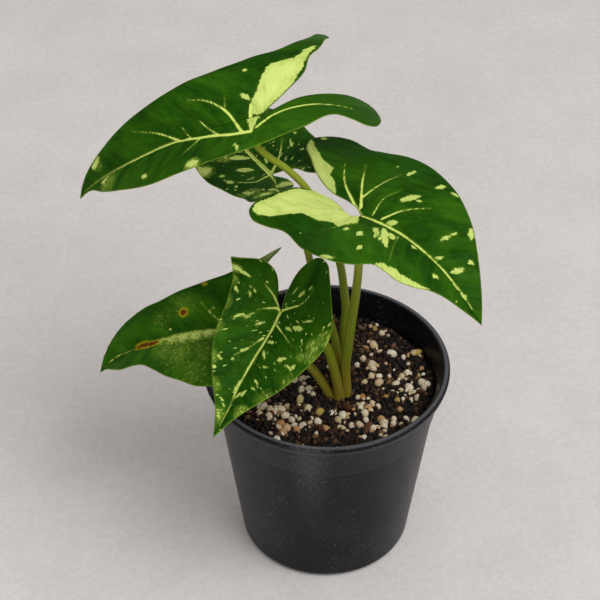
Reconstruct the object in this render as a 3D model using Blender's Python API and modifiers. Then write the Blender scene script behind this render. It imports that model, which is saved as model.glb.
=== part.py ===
"""A potted syngonium with five marbled arrowhead leaves, in a 12 cm black nursery pot.

Units are metres, +Z up. The origin is the centre of the pot's underside, which stands on Z = 0.
Sizes below are given in millimetres and degrees, and MM turns them into metres.
"""
import bpy

for old in list(bpy.data.objects):
    bpy.data.objects.remove(old, do_unlink=True)

import bmesh
import math
import random
from mathutils import Euler, Matrix, Vector, noise
from mathutils.geometry import delaunay_2d_cdt

MM = 0.001
NAME = "potted_syngonium"
SHARP_ANGLE = 35.0
WELD = 0.02

# Pot: a thin tapered wall with a rolled rim and a collar
POT_HEIGHT = 107.0
RIM_RADIUS = 60.0
LIP_RADIUS = 1.75
COLLAR_TOP = 101.2
COLLAR_TOP_RADIUS = 55.6
COLLAR_FOOT = 84.4
COLLAR_FOOT_RADIUS = 53.9
BODY_TOP_RADIUS = 53.0
BODY_FOOT_RADIUS = 42.3
FOOT_ROUNDING = 4.0
WALL = 1.3
STEP_HEIGHT = 0.6
FLOOR = 2.2
FLOOR_CHAMFER = 2.0
POT_SIDES = 72
DRAIN_HOLES = 8
DRAIN_RADIUS = 4.5
DRAIN_CIRCLE = 31.0
DRAIN_DEPTH = 12.0
DRAIN_SIDES = 12

# Soil: a filled plug with a rough top and pale grains grown into it
GAP = 0.3
SOIL_TOP = 92.0
SOIL_RINGS = 9
SOIL_SIDES = 40
SOIL_ROUGHNESS = 1.6
SOIL_LUMP = 9.0
SOIL_CRUMB = 3.4
GRAINS = 130
GRAIN_RADIUS = (1.3, 2.5)
GRAIN_STRETCH = (1.15, 0.95, 0.8)
GRAIN_RISE = 0.15
GRAIN_MARGIN = 1.0
GRAIN_SEED = 7

# Crown: the sheathing stalk bases, standing in a plain hole in the soil
CROWN_CENTRE = (5.5, -4.5)
CROWN_PLUG_RADIUS = 8.5
CROWN_PLUG = (80.0, 91.0)
CROWN_SIDES = 24
HOLE_RADIUS = 8.8
HOLE_FLOOR = 79.7
HOLE_TOP = 98.0
SHEATH = 1.15

# Leaves: blade thickness, mesh grid, and the stalks' gap, sides and thickness where they leave the crown
BLADE = 0.8
MESH_STEP = 5.5
MESH_CLEARANCE = 3.0
REAR_ARC_LENGTH = 60.0
STALK_SIDES = 8
STALK_STEP = 5.0
STALK_SINK = 0.95
STALK_NECK = 0.35
SHORTEST_LINK = 1.5

COLOURS = {
    "pot": (0.012, 0.013, 0.016, 0.45),
    "soil": (0.035, 0.020, 0.013, 0.95),
    "crown": (0.16, 0.17, 0.03, 0.5),
    "stalk": (0.17, 0.22, 0.03, 0.45),
    "blade": (0.015, 0.085, 0.012, 0.35),
}

# Each leaf: hub is where the midrib starts; heading, pitch and roll turn the blade; droop bends the
# midrib down over its length and rear bends the lobes up; twist turns the tip. For each half:
# fold and curl shape its cross-section over the width, lift raises its lobe over the reach, and
# outline runs from the tip round the lobe to the notch as (along, out) in the leaf's own plane.
LEAVES = {
    "leaf_top": {
        "hub": (-31.3, 17.1, 241.8), "heading": 190.4, "pitch": -9.0, "roll": -32.8,
        "length": 111.3, "droop": 62.0, "rear": -27.7, "twist": -6.6, "seat": (4.9, 7.9),
        "left": {"fold": 26.9, "curl": -4.9, "lift": -13.9, "width": 23.2, "reach": 60.6, "outline": (
            (98, 1.5), (85, 8), (72.5, 13), (54.5, 18.6), (38, 19.2), (20, 18.6), (2, 17.2), (-17, 11.5),
            (-36.5, 5), (-43, 8), (-50, 11.7), (-57, 11), (-62, 8), (-66.5, 3), (-65.5, -3.5),
            (-59, -8), (-52, -9.6), (-36, -10.4), (-21.5, -9.8), (-8, -5), (0, 0))},
        "right": {"fold": 19.4, "curl": -41.4, "lift": -14.0, "width": 27.2, "reach": 69.5, "outline": (
            (97, 6.5), (81.5, 12), (60, 18.8), (46, 22.5), (32.5, 25.7), (8, 28.8), (-20, 35),
            (-36.5, 44), (-44, 50), (-50.5, 51), (-51, 47), (-44.5, 40.5), (-36, 31), (-30, 26.5),
            (-25, 18), (-14, 9), (0, 0))},
    },
    "leaf_right": {
        "hub": (14.5, -18.2, 213.1), "heading": -40.7, "pitch": 11.0, "roll": -3.5,
        "length": 78.2, "droop": 55.9, "rear": 15.6, "twist": -7.4, "seat": (2.0, 0.0),
        "left": {"fold": 29.5, "curl": -29.0, "lift": -8.0, "width": 39.7, "reach": 67.5, "outline": (
            (66, 8.5), (52, 18.5), (37, 29.8), (24, 36.5), (12, 40.3), (-7, 41.7), (-17, 39.6),
            (-25, 38.2), (-31, 39.6), (-38.5, 41.6), (-47, 41), (-54, 37.8), (-58, 33.5), (-56.2, 27.6),
            (-47, 20), (-36.7, 12.7), (-22, 6.3), (-10, 4.6), (-3.5, 2.5), (0, 0))},
        "right": {"fold": 13.0, "curl": -30.9, "lift": 8.0, "width": 34.8, "reach": 51.2, "outline": (
            (68, 6.5), (54.6, 14.5), (47.5, 21.4), (41, 24.6), (35, 25), (29, 26), (23.7, 31),
            (18, 34.5), (8, 36), (-3.5, 35.2), (-19.4, 31.2), (-27, 33.5), (-34.5, 34.9), (-39, 32),
            (-40, 28), (-39, 21.4), (-37, 12), (-34.7, 3.8), (-31, 0), (-24, -3), (-16, -2.6),
            (-8, 1.4), (-2.5, 2.8), (0, 0))},
    },
    "leaf_front": {
        "hub": (-21.3, -22.2, 159.7), "heading": -118.9, "pitch": -25.9, "roll": -4.6,
        "length": 68.3, "droop": 0.0, "rear": 109.7, "twist": 4.4, "seat": (2.0, 0.0),
        "left": {"fold": 20.7, "curl": 0.0, "lift": -5.6, "width": 34.2, "reach": 35.9, "outline": (
            (58, 5.4), (46, 15.5), (33.5, 25.6), (25, 29.6), (15, 32.6), (5.5, 32.7), (-2, 30.1),
            (-11, 26), (-20, 21.8), (-27, 18.4), (-31.5, 16.2), (-32.5, 12.5), (-30.8, 8.6), (-27, 4.8),
            (-19, -0.3), (-11.8, -1.8), (-5, -1.5), (0, 0))},
        "right": {"fold": 30.0, "curl": 0.0, "lift": 26.8, "width": 25.4, "reach": 44.9, "outline": (
            (54.5, 6.4), (46, 12.3), (37, 17.8), (26.3, 22.1), (9, 24.7), (-5, 28.3), (-19.3, 31.7),
            (-26, 32.3), (-31, 30.6), (-33, 27.5), (-31.5, 22.5), (-30, 17), (-24.5, 12.4), (-18, 8.4),
            (-10, 5.6), (-3.7, 3.4), (0, 0))},
    },
    "leaf_left": {
        "hub": (-49.9, -2.0, 130.6), "heading": 176.9, "pitch": -6.6, "roll": -10.5,
        "length": 75.5, "droop": 50.7, "rear": 54.6, "twist": 0.9, "seat": (2.0, 0.0),
        "left": {"fold": 14.0, "curl": -36.9, "lift": 0.0, "width": 28.1, "reach": 41.1, "outline": (
            (70, 1.6), (61, 7), (53.5, 11), (47, 12), (41, 13.5), (34, 18.5), (27.5, 23.6), (20, 27.5),
            (12.3, 31.3), (0, 32), (-11, 30.5), (-17, 28), (-20.5, 24), (-21.5, 17.5), (-18.5, 10),
            (-11, 4), (0, 0))},
        "right": {"fold": 30.5, "curl": -41.9, "lift": 11.3, "width": 29.5, "reach": 51.5, "outline": (
            (68, 6), (61, 10.7), (48, 16.8), (40, 19.4), (31, 20), (21, 23.4), (11.5, 25.8), (2.4, 29.2),
            (-8.4, 36.6), (-17, 41.5), (-25, 45), (-31.2, 41.6), (-30.5, 37.4), (-27, 34.3),
            (-22, 25.1), (-14, 14), (0, 0))},
    },
    "leaf_back": {
        "hub": (-27.2, 33.9, 195.8), "heading": 117.4, "pitch": -9.7, "roll": -15.3,
        "length": 74.4, "droop": -12.7, "rear": 13.1, "twist": 4.0, "seat": (2.0, 0.0),
        "left": {"fold": 14.5, "curl": -7.7, "lift": 16.2, "width": 27.6, "reach": 43.3, "outline": (
            (65, 8.5), (52, 17.5), (37, 25), (26, 27), (13.5, 27), (-2, 23.5), (-17, 20.5), (-25, 21),
            (-30.5, 20.3), (-35, 16), (-36.3, 10), (-33.5, 4.5), (-27, -0.5), (-19, -3.8), (-8, -4.2),
            (0, 0))},
        "right": {"fold": 8.0, "curl": -10.0, "lift": 0.1, "width": 28.7, "reach": 49.0, "outline": (
            (64, 10.9), (51, 20), (40.3, 26.2), (29.9, 29.6), (13.4, 29), (-2.8, 29.5), (-14.5, 33.4),
            (-21.4, 31.9), (-26.6, 28), (-26.9, 23.4), (-23.4, 18), (-15.9, 13), (-7.7, 10.5), (0, 0))},
    },
}

# Each stalk: (base radius, top radius) and its route from the crown up to under its blade
STALKS = {
    "leaf_top": ((2.3, 1.5), (
        (6.8, -1.5, 86), (7.4, 0.6, 93), (7.8, 3.2, 101), (7.4, 4.8, 112), (8.2, 5.4, 125.5), (8.9, 6, 137),
        (7.9, 6.6, 148), (6.3, 7.6, 161), (0.9, 9.4, 181.5), (-5.7, 11, 197.3), (-12.3, 12.4, 207.8),
        (-20, 13.2, 216), (-28, 12.2, 223.5), (-33, 10.6, 231))),
    "leaf_right": ((2.6, 1.75), (
        (9.2, -5.2, 86), (9.4, -5.4, 97), (8.9, -5.7, 108), (9.9, -7, 123), (11.3, -8.6, 139.7),
        (12.9, -10.6, 157), (13.9, -12.4, 172), (14.4, -14.8, 187), (15, -17.4, 200))),
    "leaf_front": ((2.5, 1.9), (
        (5.4, -8.4, 86), (6.2, -8.4, 93), (5.4, -9.2, 101), (3, -11, 116), (0.1, -13.2, 129),
        (-5.6, -16.4, 142.5), (-12.8, -19.6, 151.5), (-19.5, -22, 155.5))),
    "leaf_left": ((2.3, 1.9), (
        (4, -6.2, 86), (1.6, -7.6, 94), (-3, -7.3, 103.4), (-8, -6.7, 110.8), (-17.6, -5.4, 118.2),
        (-31, -4, 123.8), (-42, -3, 126.6), (-49, -2.2, 127))),
    "leaf_back": ((2.1, 1.5), (
        (4.6, -2.6, 86), (6.2, -2.4, 96), (5.4, -1.2, 108), (4.4, 0.9, 119), (1.6, 3.8, 130.5),
        (-2.8, 8.2, 142.5), (-7.5, 13.4, 156), (-11, 18.4, 168), (-17, 24.4, 179), (-24, 31, 186.5))),
}
# Height where each stalk leaves the fused crown
STALK_START = {"leaf_top": 111.0, "leaf_right": 109.0, "leaf_front": 106.0, "leaf_left": 101.0,
               "leaf_back": 110.0}


def new_collection(name):
    collection = bpy.data.collections.new(name)
    bpy.context.scene.collection.children.link(collection)
    return collection


def new_material(name, kind):
    red, green, blue, roughness = COLOURS[kind]
    material = bpy.data.materials.new(name)
    material.use_nodes = True
    shader = material.node_tree.nodes["Principled BSDF"]
    shader.inputs["Base Color"].default_value = (red, green, blue, 1.0)
    shader.inputs["Roughness"].default_value = roughness
    shader.inputs["Metallic"].default_value = 0.0
    return material


def add_object(collection, name, mesh, kind=None):
    thing = bpy.data.objects.new(name, mesh)
    collection.objects.link(thing)
    if kind:
        thing.data.materials.clear()
        thing.data.materials.append(new_material(name + "_material", kind))
    return thing


def evaluated_mesh(thing):
    """The mesh an object shows with its modifiers, welded where a curve's caps are loose."""
    bpy.context.view_layer.update()
    graph = bpy.context.evaluated_depsgraph_get()
    mesh = bpy.data.meshes.new_from_object(thing.evaluated_get(graph))
    shape = bmesh.new()
    shape.from_mesh(mesh)
    bmesh.ops.remove_doubles(shape, verts=shape.verts, dist=0.00001)
    shape.to_mesh(mesh)
    shape.free()
    return mesh


def turned_mesh(profile, sides):
    """A closed solid turned about Z from (radius, height) points that run down its outer side."""
    mesh = bpy.data.meshes.new("profile")
    points = [(radius * MM, 0.0, height * MM) for radius, height in profile]
    mesh.from_pydata(points, [(i, i + 1) for i in range(len(points) - 1)], [])
    thing = bpy.data.objects.new("profile", mesh)
    bpy.context.scene.collection.objects.link(thing)
    screw = thing.modifiers.new("turn", "SCREW")
    screw.axis = "Z"
    screw.steps = sides
    screw.render_steps = sides
    screw.use_merge_vertices = True
    screw.merge_threshold = 0.00001
    result = evaluated_mesh(thing)
    bpy.data.objects.remove(thing, do_unlink=True)
    return result


def add_boolean(thing, operation, other=None, collection=None):
    cut = thing.modifiers.new(operation.lower(), "BOOLEAN")
    cut.operation = operation
    cut.solver = "EXACT"
    if collection:
        cut.operand_type = "COLLECTION"
        cut.collection = collection
    else:
        cut.object = other
    return cut


def hide_helper(thing):
    thing.hide_render = True
    thing.display_type = "WIRE"


def smooth(thing):
    thing.data.shade_smooth()
    thing.data.set_sharp_from_angle(angle=math.radians(SHARP_ANGLE))


def rod_mesh(x, y, foot, top, radius, sides):
    """An upright round rod, from its centre, heights and radius in millimetres."""
    middle = Vector((x, y, (foot + top) / 2.0)) * MM
    shape = bmesh.new()
    bmesh.ops.create_cone(shape, cap_ends=True, segments=sides, radius1=radius * MM, radius2=radius * MM,
                          depth=(top - foot) * MM, matrix=Matrix.Translation(middle))
    mesh = bpy.data.meshes.new("rod")
    shape.to_mesh(mesh)
    shape.free()
    return mesh


def arc(centre_r, centre_z, radius, start, end, steps):
    points = []
    for i in range(steps + 1):
        angle = math.radians(start + (end - start) * i / steps)
        points.append((centre_r + radius * math.cos(angle), centre_z + radius * math.sin(angle)))
    return points


def inner_radius(height):
    """Radius of the pot's inner wall at a height."""
    if height >= COLLAR_FOOT:
        t = (height - COLLAR_FOOT) / (COLLAR_TOP - COLLAR_FOOT)
        return COLLAR_FOOT_RADIUS - WALL + t * (COLLAR_TOP_RADIUS - COLLAR_FOOT_RADIUS)
    t = height / COLLAR_FOOT
    return BODY_FOOT_RADIUS - WALL + t * (BODY_TOP_RADIUS - BODY_FOOT_RADIUS)


def pot_profile():
    lip_r = RIM_RADIUS - LIP_RADIUS
    lip_z = POT_HEIGHT - LIP_RADIUS
    corner = FLOOR + FLOOR_CHAMFER
    step = COLLAR_FOOT - STEP_HEIGHT
    inside = [(0.0, FLOOR), (inner_radius(FLOOR) - FLOOR_CHAMFER, FLOOR), (inner_radius(corner), corner)]
    inside += [(inner_radius(step), step), (inner_radius(COLLAR_FOOT), COLLAR_FOOT)]
    inside += [(inner_radius(COLLAR_TOP), COLLAR_TOP)]
    lip = arc(lip_r, lip_z, LIP_RADIUS, 180.0, 0.0, 6)
    under = [(RIM_RADIUS, lip_z - 1.4), (RIM_RADIUS - 0.7, COLLAR_TOP + 0.5)]
    under += [(RIM_RADIUS - 2.4, COLLAR_TOP), (COLLAR_TOP_RADIUS, COLLAR_TOP)]
    collar = [(COLLAR_FOOT_RADIUS, COLLAR_FOOT), (BODY_TOP_RADIUS, step)]
    foot = arc(BODY_FOOT_RADIUS - FOOT_ROUNDING, FOOT_ROUNDING, FOOT_ROUNDING, 0.0, -90.0, 3)
    return inside + lip + under + collar + foot + [(0.0, 0.0)]


def make_pot(parts, cutters):
    pot = add_object(parts, "pot", turned_mesh(pot_profile(), POT_SIDES), "pot")
    drains = new_collection("drain_cutters")
    for i in range(DRAIN_HOLES):
        angle = 2.0 * math.pi * i / DRAIN_HOLES
        x = DRAIN_CIRCLE * math.cos(angle)
        y = DRAIN_CIRCLE * math.sin(angle)
        mesh = rod_mesh(x, y, -DRAIN_DEPTH / 2.0, DRAIN_DEPTH / 2.0, DRAIN_RADIUS, DRAIN_SIDES)
        hide_helper(add_object(drains, f"drain_{i + 1}", mesh))
    cutters.children.link(drains)
    bpy.context.scene.collection.children.unlink(drains)
    add_boolean(pot, "DIFFERENCE", collection=drains)
    smooth(pot)


def soil_height(x, y):
    """Height of the rough soil at a place, both in millimetres; it lies low round the crown."""
    rough = noise.noise(Vector((x, y, 0.0)) / SOIL_LUMP)
    fine = noise.noise(Vector((x, y, SOIL_TOP)) / SOIL_CRUMB)
    from_crown = math.hypot(x - CROWN_CENTRE[0], y - CROWN_CENTRE[1])
    fade = min(1.0, max(0.0, (from_crown - HOLE_RADIUS) / SOIL_LUMP))
    return SOIL_TOP + SOIL_ROUGHNESS * (rough + 0.5 * fine) * fade


def soil_profile():
    edge = inner_radius(SOIL_TOP) - GAP
    top = [(edge * i / SOIL_RINGS, SOIL_TOP) for i in range(SOIL_RINGS + 1)]
    step = COLLAR_FOOT - STEP_HEIGHT
    side = [(inner_radius(COLLAR_FOOT) - GAP, COLLAR_FOOT + GAP), (inner_radius(step) - GAP, step)]
    base = FLOOR + GAP
    corner = base + FLOOR_CHAMFER
    side.append((inner_radius(corner) - GAP, corner))
    return top + side + [(inner_radius(base) - FLOOR_CHAMFER - 2.0 * GAP, base), (0.0, base)]


def make_grains(collection):
    """Loose grains half sunk in the soil's top, clear of the crown and the pot."""
    draw = random.Random(GRAIN_SEED)
    placed = []
    edge = inner_radius(SOIL_TOP) - GAP
    while len(placed) < GRAINS:
        radius = draw.uniform(*GRAIN_RADIUS)
        reach = (edge - radius - GRAIN_MARGIN) * math.sqrt(draw.random())
        angle = draw.uniform(0.0, 2.0 * math.pi)
        x = reach * math.cos(angle)
        y = reach * math.sin(angle)
        from_crown = math.hypot(x - CROWN_CENTRE[0], y - CROWN_CENTRE[1])
        if from_crown < HOLE_RADIUS + radius + GRAIN_MARGIN:
            continue
        if any(math.hypot(x - a, y - b) < radius + r for a, b, r in placed):
            continue
        placed.append((x, y, radius))
        shape = bmesh.new()
        bmesh.ops.create_icosphere(shape, subdivisions=1, radius=radius * MM)
        turn = Euler([draw.uniform(0.0, math.pi) for _ in range(3)]).to_matrix().to_4x4()
        stretch = Matrix.Diagonal((*GRAIN_STRETCH, 1.0))
        place = Matrix.Translation(Vector((x, y, soil_height(x, y) + GRAIN_RISE * radius)) * MM)
        bmesh.ops.transform(shape, matrix=place @ turn @ stretch, verts=shape.verts)
        mesh = bpy.data.meshes.new("grain")
        shape.to_mesh(mesh)
        shape.free()
        collection.objects.link(bpy.data.objects.new("grain", mesh))


def apply_and_clear(thing, collection):
    """Keep the evaluated mesh of an object, and remove the pieces that its modifier used."""
    mesh = evaluated_mesh(thing)
    thing.modifiers.clear()
    material = thing.data.materials[0]
    thing.data = mesh
    mesh.materials.clear()
    mesh.materials.append(material)
    for piece in list(collection.objects):
        bpy.data.objects.remove(piece, do_unlink=True)
    bpy.data.collections.remove(collection)


def make_soil(parts, cutters):
    soil = add_object(parts, "soil", turned_mesh(soil_profile(), SOIL_SIDES), "soil")
    rim = (inner_radius(SOIL_TOP) - GAP) * MM - WELD * MM
    for vertex in soil.data.vertices:
        x, y, z = vertex.co
        if abs(z - SOIL_TOP * MM) < WELD * MM and math.hypot(x, y) < rim:
            vertex.co.z = soil_height(x / MM, y / MM) * MM
    grains = new_collection("grains")
    make_grains(grains)
    add_boolean(soil, "UNION", collection=grains)
    apply_and_clear(soil, grains)
    hole = add_object(cutters, "crown_hole",
                      rod_mesh(*CROWN_CENTRE, HOLE_FLOOR, HOLE_TOP, HOLE_RADIUS, CROWN_SIDES))
    hide_helper(hole)
    add_boolean(soil, "DIFFERENCE", other=hole)


def smooth_line(points, step):
    """Points about one step apart on a smooth curve through the given ones."""
    given = [Vector(p) for p in points]
    ends = [given[0] * 2.0 - given[1]] + given + [given[-1] * 2.0 - given[-2]]
    line = []
    for i in range(1, len(ends) - 2):
        before, start, end, after = ends[i - 1], ends[i], ends[i + 1], ends[i + 2]
        back = max((start - before).length, 1e-6)
        here = max((end - start).length, 1e-6)
        ahead = max((after - end).length, 1e-6)
        leave = ((start - before) / back * here + (end - start) / here * back) / (back + here) * here
        arrive = ((end - start) / here * ahead + (after - end) / ahead * here) / (here + ahead) * here
        count = max(1, round(here / step))
        for k in range(count):
            t = k / count
            line.append(start * (2 * t ** 3 - 3 * t ** 2 + 1) + leave * (t ** 3 - 2 * t ** 2 + t)
                        + end * (3 * t ** 2 - 2 * t ** 3) + arrive * (t ** 3 - t ** 2))
    line.append(given[-1])
    return line


def blade_point(leaf, along, out, side):
    """A point of the blade's middle surface in millimetres, from its place in the flat leaf."""
    half = leaf["left"] if side > 0 else leaf["right"]
    fold = math.radians(half["fold"])
    curl = math.radians(half["curl"]) / half["width"] or 1e-5
    across = (math.sin(fold + curl * out) - math.sin(fold)) / curl
    rise = (math.cos(fold) - math.cos(fold + curl * out)) / curl
    rise += math.radians(half["lift"]) * min(along, 0.0) ** 2 / half["reach"]
    twist = math.radians(leaf["twist"]) * max(along, 0.0) / leaf["length"]
    y = side * across * math.cos(twist) - rise * math.sin(twist)
    rise = rise * math.cos(twist) + side * across * math.sin(twist)
    if along >= 0.0:
        bend = -math.radians(leaf["droop"]) / leaf["length"] or 1e-6
    else:
        bend = math.radians(leaf["rear"]) / REAR_ARC_LENGTH
    angle = bend * along
    x = math.sin(angle) / bend - rise * math.sin(angle)
    z = (1.0 - math.cos(angle)) / bend + rise * math.cos(angle)
    turn = Matrix.Rotation(math.radians(leaf["heading"]), 3, "Z")
    turn = turn @ Matrix.Rotation(-math.radians(leaf["pitch"]), 3, "Y")
    turn = turn @ Matrix.Rotation(math.radians(leaf["roll"]), 3, "X")
    return turn @ Vector((x, y, z)) + Vector(leaf["hub"])


def inside_outline(x, y, outline):
    inside = False
    for a, b in zip(outline, outline[1:] + outline[:1]):
        if (a.y > y) != (b.y > y) and x < a.x + (y - a.y) / (b.y - a.y) * (b.x - a.x):
            inside = not inside
    return inside


def half_triangles(leaf, side):
    """Triangles that fill one half of the flat leaf, as (along, out) points."""
    half = leaf["left"] if side > 0 else leaf["right"]
    outline = smooth_line(((leaf["length"], 0.0),) + half["outline"], MESH_STEP)
    ribs = round(leaf["length"] / MESH_STEP)
    border = outline + [Vector((leaf["length"] * i / ribs, 0.0)) for i in range(1, ribs)]
    start_x = min(b.x for b in border)
    start_y = min(b.y for b in border)
    row_gap = MESH_STEP * math.sqrt(0.75)
    columns = math.ceil((leaf["length"] - start_x) / MESH_STEP)
    rows = math.ceil((max(b.y for b in border) - start_y) / row_gap)
    inner = []
    for row in range(rows):
        for column in range(columns):
            x = start_x + MESH_STEP * (column + 0.5 * (row % 2))
            y = start_y + row_gap * row
            near = min((Vector((x, y)) - b).length for b in border)
            if near > MESH_CLEARANCE and inside_outline(x, y, border):
                inner.append(Vector((x, y)))
    loop = list(range(len(border)))
    edges = list(zip(loop, loop[1:] + loop[:1]))
    result = delaunay_2d_cdt(border + inner, edges, [loop], 1, 1e-4)
    return result[0], result[2]


def make_blade(parts, name, leaf):
    shape = bmesh.new()
    for side in (1, -1):
        points, faces = half_triangles(leaf, side)
        corners = [shape.verts.new(blade_point(leaf, p.x, p.y, side) * MM) for p in points]
        for face in faces:
            ring = face if side > 0 else face[::-1]
            shape.faces.new([corners[i] for i in ring])
    bmesh.ops.remove_doubles(shape, verts=shape.verts, dist=WELD * MM)
    mesh = bpy.data.meshes.new(name)
    shape.to_mesh(mesh)
    shape.free()
    blade = add_object(parts, name, mesh, "blade")
    thick = blade.modifiers.new("thickness", "SOLIDIFY")
    thick.thickness = BLADE * MM
    thick.offset = 0.0
    thick.use_even_offset = False
    smooth(blade)


def seat_point(leaf):
    """Where a stalk's end touches its blade from below, and the blade's normal there."""
    along, out = leaf["seat"]
    middle = blade_point(leaf, along, out, 1)
    ahead = blade_point(leaf, along + 0.1, out, 1) - middle
    aside = blade_point(leaf, along, out + 0.1, 1) - middle
    other = middle - blade_point(leaf, along, out + 0.1, -1) if out == 0.0 else aside
    normal = ahead.cross(aside + other).normalized()
    return middle - normal * STALK_SINK, normal


def stalk_route(name):
    """The whole route of a stalk, with its last stretch square to the blade's underside."""
    end, normal = seat_point(LEAVES[name])
    points = STALKS[name][1]
    route = [Vector(p) for p in points] + [end - normal * 0.8 * STALK_STEP, end]
    return smooth_line(route, STALK_STEP)


def tube_mesh(name, route, first_radius, last_radius, sides):
    """A round tapered tube along a route, as one closed mesh."""
    curve = bpy.data.curves.new(name, "CURVE")
    curve.dimensions = "3D"
    curve.bevel_depth = MM
    curve.bevel_resolution = (sides - 4) // 2
    curve.use_fill_caps = True
    spline = curve.splines.new("POLY")
    spline.points.add(len(route) - 1)
    for i, (dot, place) in enumerate(zip(spline.points, route)):
        dot.co = (*(place * MM), 1.0)
        dot.radius = first_radius + (last_radius - first_radius) * i / (len(route) - 1)
    guide = bpy.data.objects.new(name, curve)
    bpy.context.scene.collection.objects.link(guide)
    mesh = evaluated_mesh(guide)
    bpy.data.objects.remove(guide, do_unlink=True)
    return mesh


def split_route(name):
    """The stalk's route below and above the height where it leaves the crown."""
    route = stalk_route(name)
    cut = STALK_START[name]
    k = next(i for i, place in enumerate(route) if place.z > cut)
    t = (cut - route[k - 1].z) / (route[k].z - route[k - 1].z)
    joint = route[k - 1].lerp(route[k], t)
    along = (route[k] - route[k - 1]).normalized()
    upper = route[k:] if (route[k] - joint).length > SHORTEST_LINK else route[k + 1:]
    return route[:k] + [joint], [joint + along * GAP] + upper


def neck_radius(name):
    """Radius of a stalk where it leaves the crown."""
    foot, top = STALKS[name][0]
    return foot + (top - foot) * STALK_NECK


def make_stalks(parts):
    for name in LEAVES:
        upper = split_route(name)[1]
        top = STALKS[name][0][1]
        stalk_name = name.replace("leaf", "stalk")
        mesh = tube_mesh(stalk_name, upper, neck_radius(name), top, STALK_SIDES)
        smooth(add_object(parts, stalk_name, mesh, "stalk"))


def make_crown(parts):
    plug = rod_mesh(*CROWN_CENTRE, *CROWN_PLUG, CROWN_PLUG_RADIUS, CROWN_SIDES)
    crown = add_object(parts, "crown", plug, "crown")
    stubs = new_collection("stubs")
    for name in LEAVES:
        lower = split_route(name)[0]
        foot = STALKS[name][0][0] * SHEATH
        add_object(stubs, "stub", tube_mesh("stub", lower, foot, neck_radius(name), STALK_SIDES))
    add_boolean(crown, "UNION", collection=stubs)
    apply_and_clear(crown, stubs)
    smooth(crown)


def main():
    parts = new_collection(NAME)
    cutters = new_collection("cutters")
    make_pot(parts, cutters)
    make_soil(parts, cutters)
    make_crown(parts)
    make_stalks(parts)
    for name, leaf in LEAVES.items():
        make_blade(parts, name, leaf)


main()
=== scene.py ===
"""Looks of a potted syngonium: marbled blades, fleshy stalks, potting mix and a black nursery pot.

The tables give the plant in millimetres and degrees, as its solids do. The settings are in metres.
"""

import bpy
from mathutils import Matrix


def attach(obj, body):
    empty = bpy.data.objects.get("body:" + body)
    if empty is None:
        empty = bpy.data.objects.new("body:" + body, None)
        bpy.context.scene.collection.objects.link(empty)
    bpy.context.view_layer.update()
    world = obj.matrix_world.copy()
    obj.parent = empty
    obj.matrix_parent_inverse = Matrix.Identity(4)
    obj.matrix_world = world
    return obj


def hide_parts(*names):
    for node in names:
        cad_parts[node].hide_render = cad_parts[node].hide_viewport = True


bl_info = {
    "name": "Potted Syngonium",
    "version": (1, 0, 0),
    "blender": (4, 5, 0),
    "location": "View3D > Sidebar > Syngonium",
    "description": "Builds the leaves, stalks, soil and pot of a small arrowhead vine",
    "category": "Object",
}

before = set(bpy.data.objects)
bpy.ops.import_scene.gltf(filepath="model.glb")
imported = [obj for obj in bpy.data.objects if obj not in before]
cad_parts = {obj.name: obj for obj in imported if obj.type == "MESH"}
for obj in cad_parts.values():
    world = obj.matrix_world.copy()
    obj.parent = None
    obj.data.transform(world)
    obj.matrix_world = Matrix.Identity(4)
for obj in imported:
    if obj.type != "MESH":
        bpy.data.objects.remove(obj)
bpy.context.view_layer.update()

import math

import bmesh
import bpy
import numpy as np
from bpy.props import FloatProperty, FloatVectorProperty, IntProperty, PointerProperty
from mathutils import Matrix, Vector, noise
from mathutils.geometry import delaunay_2d_cdt
from mathutils.kdtree import KDTree

MM = 0.001
BODY = "root"
FAR = 4.0

# Pot profile
POT_HEIGHT = 107.0
RIM_RADIUS = 60.0
LIP_RADIUS = 1.75
COLLAR_TOP = 101.2
COLLAR_TOP_RADIUS = 55.6
COLLAR_FOOT = 84.4
COLLAR_FOOT_RADIUS = 53.9
BODY_TOP_RADIUS = 53.0
BODY_FOOT_RADIUS = 42.3
FOOT_ROUNDING = 4.0
WALL = 1.3
STEP_HEIGHT = 0.6
FLOOR = 2.2
FLOOR_CHAMFER = 2.0
DRAIN_HOLES = 8
DRAIN_RADIUS = 4.5
DRAIN_CIRCLE = 31.0
TURN_RADIUS = 10.0

# Soil and crown
GAP = 0.3
SOIL_TOP = 92.0
SOIL_ROUGHNESS = 1.6
SOIL_LUMP = 9.0
SOIL_CRUMB = 3.4
CROWN_CENTRE = (5.5, -4.5)
HOLE_RADIUS = 8.8
POOR_SOIL = 0.1
# Where pale grains lie thick in the soil, as (x, y, radius)
PERLITE_SPOTS = ((42, 2, 6), (45, 20, 5), (31, 4, 5), (39, -6, 4), (22, 45, 5), (22, 29, 4), (30, 40, 3),
                 (24, -27, 6), (35, -24, 4), (21, -14, 4), (13, -17, 4), (8, -25, 6), (-8, -26, 6), (-20, -29, 7),
                 (-14, -15, 4), (-27, -20, 7), (-8, -2, 4), (24, 14, 4))

# Leaves
REAR_ARC_LENGTH = 60.0
VEIN_SPACING = 9.0
LOBE_VEINS = 14.0
VEIN_WIDTH = 0.6

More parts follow.
